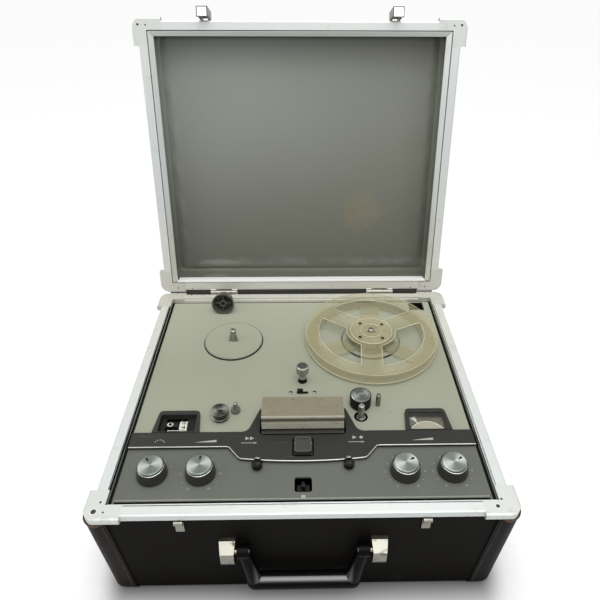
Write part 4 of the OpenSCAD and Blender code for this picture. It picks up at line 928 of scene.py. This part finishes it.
strip = {
    "spans": [(-175.6, -138.6), (-98.4, 98.4), (138.6, 175.6)],
    "profile": [(182.5, 112.0), (183.8, 112.0), (187.4, 121.5), (192.6, 126.0), (193.4, 130.0),
                (193.0, 133.6), (192.0, 133.9), (191.2, 133.2), (190.6, 128.0), (187.2, 123.2),
                (182.5, 121.5)],
    "tail": (175.0, 199.0), "tailRound": 1.1,
}
shape = bmesh.new()
for span in strip["spans"]:
    rings(shape, [[(x, y, z) for y, z in strip["profile"]] for x in span])
tail = circle(hinge["y"], hinge["z"], strip["tailRound"], 10)
for side in (-1, 1):  # tails between the castings, round the hinges' axis
    rings(shape, [[(side * x, y, z) for y, z in tail] for x in strip["tail"]])
hingeStripDark = material("hingeStripDark", rgb(58, 57, 50), 0.6, shine=0.1)
keep("hingeStrip", shape, "case_cover", "case", hingeStripDark, sharp=50)
print("case details made")

# Lid lining: a vinyl sheet over the lid's inside with a loose bubble and creases near the sides

sag = {"edge": 1.6, "edgeWide": 14, "back": 1.75, "waves": ((0.9, 90, 3.1), (0.25, 26, 8.2))}
crease = {"inset": 13, "wide": 5, "base": 1.1, "ripple": 0.8, "pitch": 9, "stray": 2.5}


def liningLift(x, y):
    w, d = lining["half"]
    inside = min(w - abs(x), d - abs(y))
    lift = sag["edge"] * (1 - math.exp(-max(inside, 0) / sag["edgeWide"])) - sag["edge"]
    for high, long, seed in sag["waves"]:
        lift += high * noise.noise((x / long, y / long, seed))
    ripple = math.sin(y / crease["pitch"] + crease["stray"] * noise.noise((x / 50, y / 40, 1.7)))
    close = math.exp(-(((w - abs(x)) - crease["inset"]) / crease["wide"]) ** 2)
    lift += close * (crease["base"] + crease["ripple"] * ripple)
    bx, by, bw, bd, bh = lining["bubble"]
    return lift + bh * math.exp(-((x - bx) / bw) ** 2 - ((y - by) / bd) ** 2)


shape = bmesh.new()
nx, ny = lining["steps"]
w, d = lining["half"]
front, back = [], []
for j in range(ny + 1):
    row = [(-w + 2 * w * i / nx, -d + 2 * d * j / ny) for i in range(nx + 1)]
    lifts = [max(liningLift(x, y), -sag["edge"]) for x, y in row]
    front.append([shape.verts.new((x, y, lining["face"] - lift)) for (x, y), lift in zip(row, lifts)])
    back.append([shape.verts.new((x, y, lining["face"] + sag["back"])) for x, y in row])
for j in range(ny):
    for i in range(nx):
        shape.faces.new((front[j][i], front[j][i + 1], front[j + 1][i + 1], front[j + 1][i]))
        shape.faces.new((back[j][i], back[j + 1][i], back[j + 1][i + 1], back[j][i + 1]))
sheet = keep("liningSheet", shape, "lining_vinyl", "lid", place=lidPose, sharp=60)
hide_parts("lid_lining")

lidWall = {  # rows of height and inset, from the trim up into the lid, then back outside
    "round": 9,
    "rows": [(137.4, 0.0), (141, 0.3), (150, 0.5), (160, 0.5), (168, 0.9), (172, 2.0), (174.2, 4.2),
             (176.5, -1.2), (137.4, -1.2)],
}
loop = roundedBox(w - lidWall["round"], d - lidWall["round"], lidWall["round"], 8)
rows = [[(x * (1 - inset / w), y * (1 - inset / d), z) for x, y in loop] for z, inset in lidWall["rows"]]
keep("liningSides", rings(bmesh.new(), rows, closed=True), "lining_vinyl", "lid", place=lidPose)
print("lining made")

# Raised plate: bright bead along its front edge

bead = {
    "radius": 0.85, "height": 3.5, "out": 0.3, "screws": (-48.5, 48.5), "screwY": -117.4, "screwZ": 2.9,
    "screw": [(2.9, 0), (2.9, 1.6), (2.2, 2.5), (0.1, 2.8)],
    "shoulder": [(66.5, -116.2), (69.5, -114.2), (80.4, -100.7), (84, -100), (189.6, -100)],
}
bow = {"half": 68, "deep": 4, "y": -120}
bowR = (bow["half"] ** 2 + bow["deep"] ** 2) / (2 * bow["deep"])
path = [(-x, y) for x, y in bead["shoulder"][::-1]]
path += [(x, bow["y"] + bowR - math.sqrt(bowR ** 2 - x * x)) for x in range(-60, 61, 6)]
path += bead["shoulder"]
shape = bmesh.new()
line = [(x, y - bead["out"], deckMm + bead["height"]) for x, y in path]
sweep(shape, line, circle(0, 0, bead["radius"], 10))
for x in bead["screws"]:
    lathe(shape, bead["screw"], x, bead["screwY"], deckMm + bead["screwZ"], 20)
keep("plateBead", shape, "fittings", "case", brightEdge, sharp=50)

# Marks on the plate and the panel

knobY = -132.5
knobs = {
    "selector": {"x": -157, "turn": -35, "node": "selector_knob", "ticks": range(3, 8), "numbers": ()},
    "listening": {"x": -107, "turn": 0, "node": "listening_knob"},
    "record_inner": {"x": 107, "turn": 60, "node": "record_knob_inner"},
    "record_outer": {"x": 157, "turn": 60, "node": "record_knob_outer"},
}
level = {"ticks": range(1, 10, 2), "numbers": range(0, 11, 2)}  # on the knobs that set a level
scale = {"start": 240, "step": 30, "numbers": 20.8, "ticks": 20.2, "size": 3.4}
plateTop, ink = deckMm + 4.0, 0.08
signs = {
    "arrows": (-59, 59), "shaft": [(-9, -96.3), (6, -96.3), (6, -95.6), (-9, -95.6)],
    "head": [(5, -97.2), (9, -95.95), (5, -94.7)],
    "plays": (-63.5, -58.5, 55), "play": [(0, -92), (4.6, -89.6), (0, -87.2)], "record": (64.5, -89.6, 1.9),
    "wedges": (-107, 132), "wedge": [(-12, -94.5), (12, -94.5), (12, -91.2)],
    "dots": (-157, -96, 5.5), "dot": 0.7, "stop": [(-2, -163.4), (2, -163.4), (2, -159.4), (-2, -159.4)],
}
shapes = []


def sign(outline, x=0, z=plateTop):
    shapes.append(prism(bmesh.new(), [(x + px, py) for px, py in outline], z, z + ink))


def dot(x, y, r, turns):
    shapes.append(lathe(bmesh.new(), [(r, 0), (r, ink), (0.1, ink)], x, y, plateTop, turns))


for x in signs["arrows"]:
    sign(signs["shaft"], x)
    sign(signs["head"], x)
for x in signs["plays"]:  # winding and playing arrowheads
    sign(signs["play"], x)
dot(*signs["record"], 24)
for x in signs["wedges"]:  # rising wedges over the volume knobs
    sign(signs["wedge"], x)
for i in range(5):
    dot(*around(*signs["dots"], 150 - 30 * i), signs["dot"], 12)
sign(signs["stop"], z=deckMm)
spots = []
for knob in knobs.values():
    knob = {**level, **knob}
    for n in knob["numbers"]:
        turn = scale["start"] - scale["step"] * n
        place = (*around(knob["x"], knobY, scale["numbers"], turn), deckMm + ink)
        shapes.append(moved(numeral(str(n), scale["size"]), Matrix.Translation(place)))
    for n in knob["ticks"]:
        turn = scale["start"] - scale["step"] * n
        place = (*around(knob["x"], knobY, scale["ticks"], turn), deckMm)
        spots.append((place, (0, 0, math.radians(turn - 90))))
keep("panelMarks", joined(shapes), "white_plastic", "case", panelInk)
tick = slab(bmesh.new(), (-0.25, -0.9, 0), (0.25, 0.9, ink))
repeat("panelTicks", tick, spots, "white_plastic", "case", panelInk)

# Knobs: spun caps with painted sheen, a bright rim bead whose pale colour is a painted highlight, and a
# pointer on each

cap = {
    "profile": [(13.05, -3.45), (13.05, -0.9), (12.2, 0.02), (11.6, 0.1), (11.2, 0.06), (11.0, 0.05),
                (0.2, 0.05)],
    "rim": 13.05, "rimThick": 0.35, "rimDrop": 3.3,
}
pointer = {"inner": 5.0, "outer": 10.2, "tail": 0.25, "half": 1.25, "height": (0.06, 0.22)}
rimHighlightAlloy = material("rimHighlightAlloy", rgb(226, 228, 224), 0.2, 1.0)
outline = [(-pointer["tail"], pointer["inner"]), (pointer["tail"], pointer["inner"])]
outline += arc(0, pointer["outer"] - pointer["half"], pointer["half"], -20, 200, 10)
for name, knob in knobs.items():
    x, top = knob["x"], topOf(knob["node"])
    spun = material(name + "Cap", rgb(190, 194, 188), 0.3, 1.0, build=spunFace(x, knobY))
    shape = lathe(bmesh.new(), cap["profile"], x, knobY, top, 64)
    keep(name + "Cap", shape, "bare_alloy", name, spun, sharp=60)
    shape = wire(bmesh.new(), circle(x, knobY, cap["rim"], 64), top - cap["rimDrop"], cap["rimThick"])
    keep(name + "Rim", shape, "bare_alloy", name, rimHighlightAlloy)
    place = Matrix.Translation((x, knobY, top)) @ Matrix.Rotation(math.radians(-knob["turn"]), 4, "Z")
    shape = prism(bmesh.new(), outline, *pointer["height"])
    keep(name + "Pointer", shape, "dark_plastic", name, darkMark, place)

# Head cover: dark floor of the opening in front of it, with painted shade along its edge

cover = {
    "floor": ((-48.3, -83.9, deckMm - 0.2), (48.3, -65.0, deckMm + 1.72)),
    "front": ((-48.3, -84.9, deckMm - 0.2), (48.3, -81.5, deckMm + 1.85)),
    "left": ((-48.3, -84.9, deckMm - 0.2), (-46.4, -56, deckMm + 1.85)),
    "right": ((46.4, -84.9, deckMm - 0.2), (48.3, -56, deckMm + 1.85)),
}
coverFloor = material("coverFloor", rgb(78, 78, 71), 0.5, shine=0.2)
keep("coverFloor", slab(bmesh.new(), *cover["floor"]), "dark_plastic", "case", coverFloor)
shape = bmesh.new()
for name in ("front", "left", "right"):
    slab(shape, *cover[name])
keep("coverGap", shape, "dark_plastic", "case", gapShade)

# Record button: a thin lighter line round its top, a painted highlight, and painted shade in the gap round
# its foot

button = {
    "line": (5.9, 6.95, 2.6), "lineThick": 0.28, "lineDrop": 0.15, "gap": (7.9, 8.95, 3.1),
    "band": [(-0.75, -0.1), (0.75, -0.1), (0.75, 0.05), (-0.75, 0.05)],
}
buttonY = middleOf("record_button").y
outline = [(x, buttonY + y) for x, y in roundedBox(*button["line"], 6)]
shape = wire(bmesh.new(), outline, topOf("record_button") - button["lineDrop"], button["lineThick"])
keep("recordLine", shape, "dark_plastic", "record_key", material("buttonLine", rgb(104, 106, 99), 0.4))
path = [(x, buttonY + y, plateTop) for x, y in roundedBox(*button["gap"], 6)]
keep("buttonGap", sweep(bmesh.new(), path, button["band"], True), "dark_plastic", "case", gapShade)

# Turntables: painted shade in the gap round each disc, the line of its edge, and painted shade in the gaps
# round the capstan and the speed knob

disc = {"gap": (39.0, 40.1), "edge": (38.0, 38.45)}
capstan = {"x": 67.7, "y": -55.8, "gap": (5.6, 8.0), "depth": (deckMm - 0.6, deckMm - 0.2)}
speed = {
    "y": 5.0, "gap": (4.5, 5.8), "foot": [(4.42, 0.5), (4.48, 0.5), (4.48, 5.0), (4.42, 5.0)],
    "well": [(5.9, 24.9), (5.9, 25.05), (4.95, 25.06), (4.3, 23.7), (0.1, 23.7), (0.1, 23.55), (4.35, 23.55)],
}
onDeck = (deckMm - 0.1, deckMm + 0.05)
turntables = {"left": -reel["x"], "right": reel["x"]}
shape = bmesh.new()
for x in turntables.values():
    hoop(shape, *disc["gap"], *onDeck, x, reel["y"])
hoop(shape, *capstan["gap"], *capstan["depth"], capstan["x"], capstan["y"], 48)
hoop(shape, *speed["gap"], *onDeck, 0, speed["y"], 48)
keep("discGaps", shape, "dark_plastic", "case", gapShade)
discEdge = material("discEdge", rgb(92, 93, 80), 0.5, shine=0.2)
for side, x in turntables.items():
    top = topOf("turntable_" + side)
    shape = hoop(bmesh.new(), *disc["edge"], top - 0.1, top + 0.04, x, reel["y"])
    keep(side + "DiscEdge", shape, "deck_paint", side + "_turntable", discEdge)

# Reel: moulded ribs along the windows, the rims and the hub, drawn pale as painted highlights on those edges

reelTop, reelFoot = topOf("reel_upper"), footOf("reel_lower")
rib = {
    "outer": 71.0, "inner": 33.0, "half": 13.5, "arms": (25, 145, 265), "thick": 0.55,
    "rounds": [(88.2, 0.3, reelTop), (88.4, 0.75, reelFoot + 0.8),
               (28.0, 0.7, reelTop), (14.0, 0.5, reelTop)],
}
hubHole = {"turns": (40, 130, 220, 310), "out": 21, "profile": [(2.2, -0.2), (2.2, 0.05), (0.1, 0.05)]}
ribHighlightPlastic = material("ribHighlightPlastic", rgb(226, 220, 190), 0.14, shine=0.8, Alpha=0.8)
wide, narrow = (math.degrees(math.asin(rib["half"] / rib[k])) for k in ("outer", "inner"))
shape = bmesh.new()
for arm in rib["arms"]:
    loop = arc(reel["x"], reel["y"], rib["outer"], arm + wide, arm + 120 - wide, 24)
    loop += arc(reel["x"], reel["y"], rib["inner"], arm + 120 - narrow, arm + narrow, 10)
    wire(shape, loop, reelTop, rib["thick"])
for r, thick, z in rib["rounds"]:
    wire(shape, circle(reel["x"], reel["y"], r, 96), z, thick)
keep("reelRibs", shape, "reel_plastic", "right_turntable", ribHighlightPlastic, sharp=60)
# painted shade: the holes in the hub are drawn as dark discs
shape = bmesh.new()
for turn in hubHole["turns"]:
    lathe(shape, hubHole["profile"], *around(reel["x"], reel["y"], hubHole["out"], turn), reelTop, 20)
keep("hubHoles", shape, "dark_plastic", "right_turntable", darkMark)

# Speed knob: fine flutes round its head, painted shade as a dark line round its foot, and a dished top

flute = {"count": 28, "radius": 7.15, "thick": 0.45, "height": (14.2, 23.3)}
spots = []
for i in range(flute["count"]):
    turn = 360 * i / flute["count"]
    place = (*around(0, speed["y"], flute["radius"], turn), deckMm)
    spots.append((place, (0, 0, math.radians(turn))))
shape = prism(bmesh.new(), circle(0, 0, flute["thick"], 8), *flute["height"])
repeat("speedFlutes", shape, spots, "bare_alloy", "speed_control")
shape = lathe(bmesh.new(), speed["foot"], 0, speed["y"], deckMm, 48, True)
keep("speedFoot", shape, "dark_plastic", "speed_control", darkMark)
shape = lathe(bmesh.new(), speed["well"], 0, speed["y"], deckMm, 48, True)
keep("speedWell", shape, "bare_alloy", "speed_control", material("speedWell", rgb(92, 92, 88), 0.4, 0.6))

# Pinch roller: turned rings and a screw on its hub

hubTop = topOf("pinch_hub")
hubFace = {"rings": ((4.6, 5.3), (9.0, 9.4)), "screw": [(2.5, -0.3), (2.5, 0.4), (1.7, 0.9), (0.1, 1.05)]}
shape = bmesh.new()
for ring in hubFace["rings"]:
    hoop(shape, *ring, hubTop - 0.2, hubTop + 0.05, hub.x, hub.y, 64)
keep("hubRings", shape, "bare_alloy", "pinch_roller", material("hubRings", rgb(98, 100, 96), 0.35, 1.0))
shape = lathe(bmesh.new(), hubFace["screw"], hub.x, hub.y, hubTop, 32)
keep("hubScrew", shape, "fittings", "pinch_roller", brightEdge)

# Screws beside the slide switch

screw = {
    "x": (-14.5, 14.5), "y": -16, "profile": [(2.6, 0), (2.5, 0.7), (1.8, 1.1), (0.1, 1.2)],
    "slot": ((-2.3, -0.35, 1.0), (2.3, 0.35, 1.24)),
}
spots = [((x, screw["y"], deckMm), (0, 0, 0)) for x in screw["x"]]
repeat("switchScrews", lathe(bmesh.new(), screw["profile"], turns=24), spots, "fittings", "case")
# painted shade: the slots are drawn as dark strips
cut = slab(bmesh.new(), *screw["slot"])
repeat("switchScrewSlots", cut, spots, "fittings", "case", darkMark, uneven=1.2, seed=4)

# Counter numbers, wrapped round the drums, behind an arc of painted shade and a white line

drum = {"radius": 10.0, "proud": 0.06, "y": -66.5, "z": 114.5, "size": 8.2}
figures = {
    "tens": {"x": -150.95, "first": 0, "start": 88, "wide": 1.9, "look": markPaint, "slot": "white_plastic"},
    "units": {"x": -135.8, "first": 4, "start": 70, "wide": 1.5, "look": darkMark, "slot": "dark_plastic"},
}
drumArcs = {
    "counterShield": {"x": (-156.0, -142.0), "turn": (18, 70), "r": 10.32,
                      "look": gapShade, "slot": "dark_plastic"},
    "counterLine": {"x": (-153.4, -132.4), "turn": (45, 49.5), "r": 10.42,
                    "look": markPaint, "slot": "white_plastic"},
}
drumArcThick = 0.12


def onDrum(r, degrees):  # depth and height of a point round the drums, turned up from the front
    out, up = around(0, 0, r, degrees)
    return drum["y"] - out, drum["z"] + up


for name, figure in figures.items():
    shapes = []
    for n in range(10):
        digit = numeral(str((figure["first"] + n) % 10), drum["size"])
        for v in digit.verts:
            turn = figure["start"] + 36 * n + math.degrees(v.co.y / drum["radius"])
            across = figure["x"] + v.co.x * figure["wide"]
            v.co = (across, *onDrum(drum["radius"] + drum["proud"], turn))
        shapes.append(digit)
    keep(name + "Numbers", joined(shapes), figure["slot"], name + "_drum", figure["look"])
for name, drumArc in drumArcs.items():
    turns = [between(drumArc["turn"], i / 12) for i in range(13)]
    outline = [onDrum(drumArc["r"] - drumArcThick, turn) for turn in turns]
    outline += [onDrum(drumArc["r"], turn) for turn in turns[::-1]]
    shape = rings(bmesh.new(), [[(x, y, z) for y, z in outline] for x in drumArc["x"]])
    keep(name, shape, drumArc["slot"], "case", drumArc["look"])

# Meter dial: two rows of ticks, a lighter plate and a bright ring round it

face = {
    "ticks": 19, "start": 128, "step": 4.2, "rows": ((24.5, 2), (27.8, 1)),
    "ring": (20.2, 21.4), "plate": 20.1,
}
spots = []
for n in range(face["ticks"]):
    turn = face["start"] - face["step"] * n
    for r, every in face["rows"]:
        if n % every == 0:
            place = (*around(dial["x"], dial["y"], r, turn), dial["z"])
            spots.append((place, (0, 0, math.radians(turn - 90))))
tick = slab(bmesh.new(), (-0.22, -0.8, 0), (0.22, 0.8, ink))
repeat("dialTicks", tick, spots, "dark_plastic", "case", darkMark)
inner, outer = face["ring"]
outline = arc(dial["x"], dial["y"], outer, 5, 175, 50) + arc(dial["x"], dial["y"], inner, 175, 5, 50)
shape = prism(bmesh.new(), outline, dial["disc"], dial["disc"] + 0.2)
keep("dialRing", shape, "fittings", "case", markPaint)
discCard = material("discCard", rgb(176, 170, 152), 0.5, shine=0.2)
outline = arc(dial["x"], dial["y"], face["plate"], -8, 188, 50)
shape = prism(bmesh.new(), outline, dial["disc"], dial["disc"] + 0.1)
keep("dialPlate", shape, "dial_card", "case", discCard)
print("deck details made")
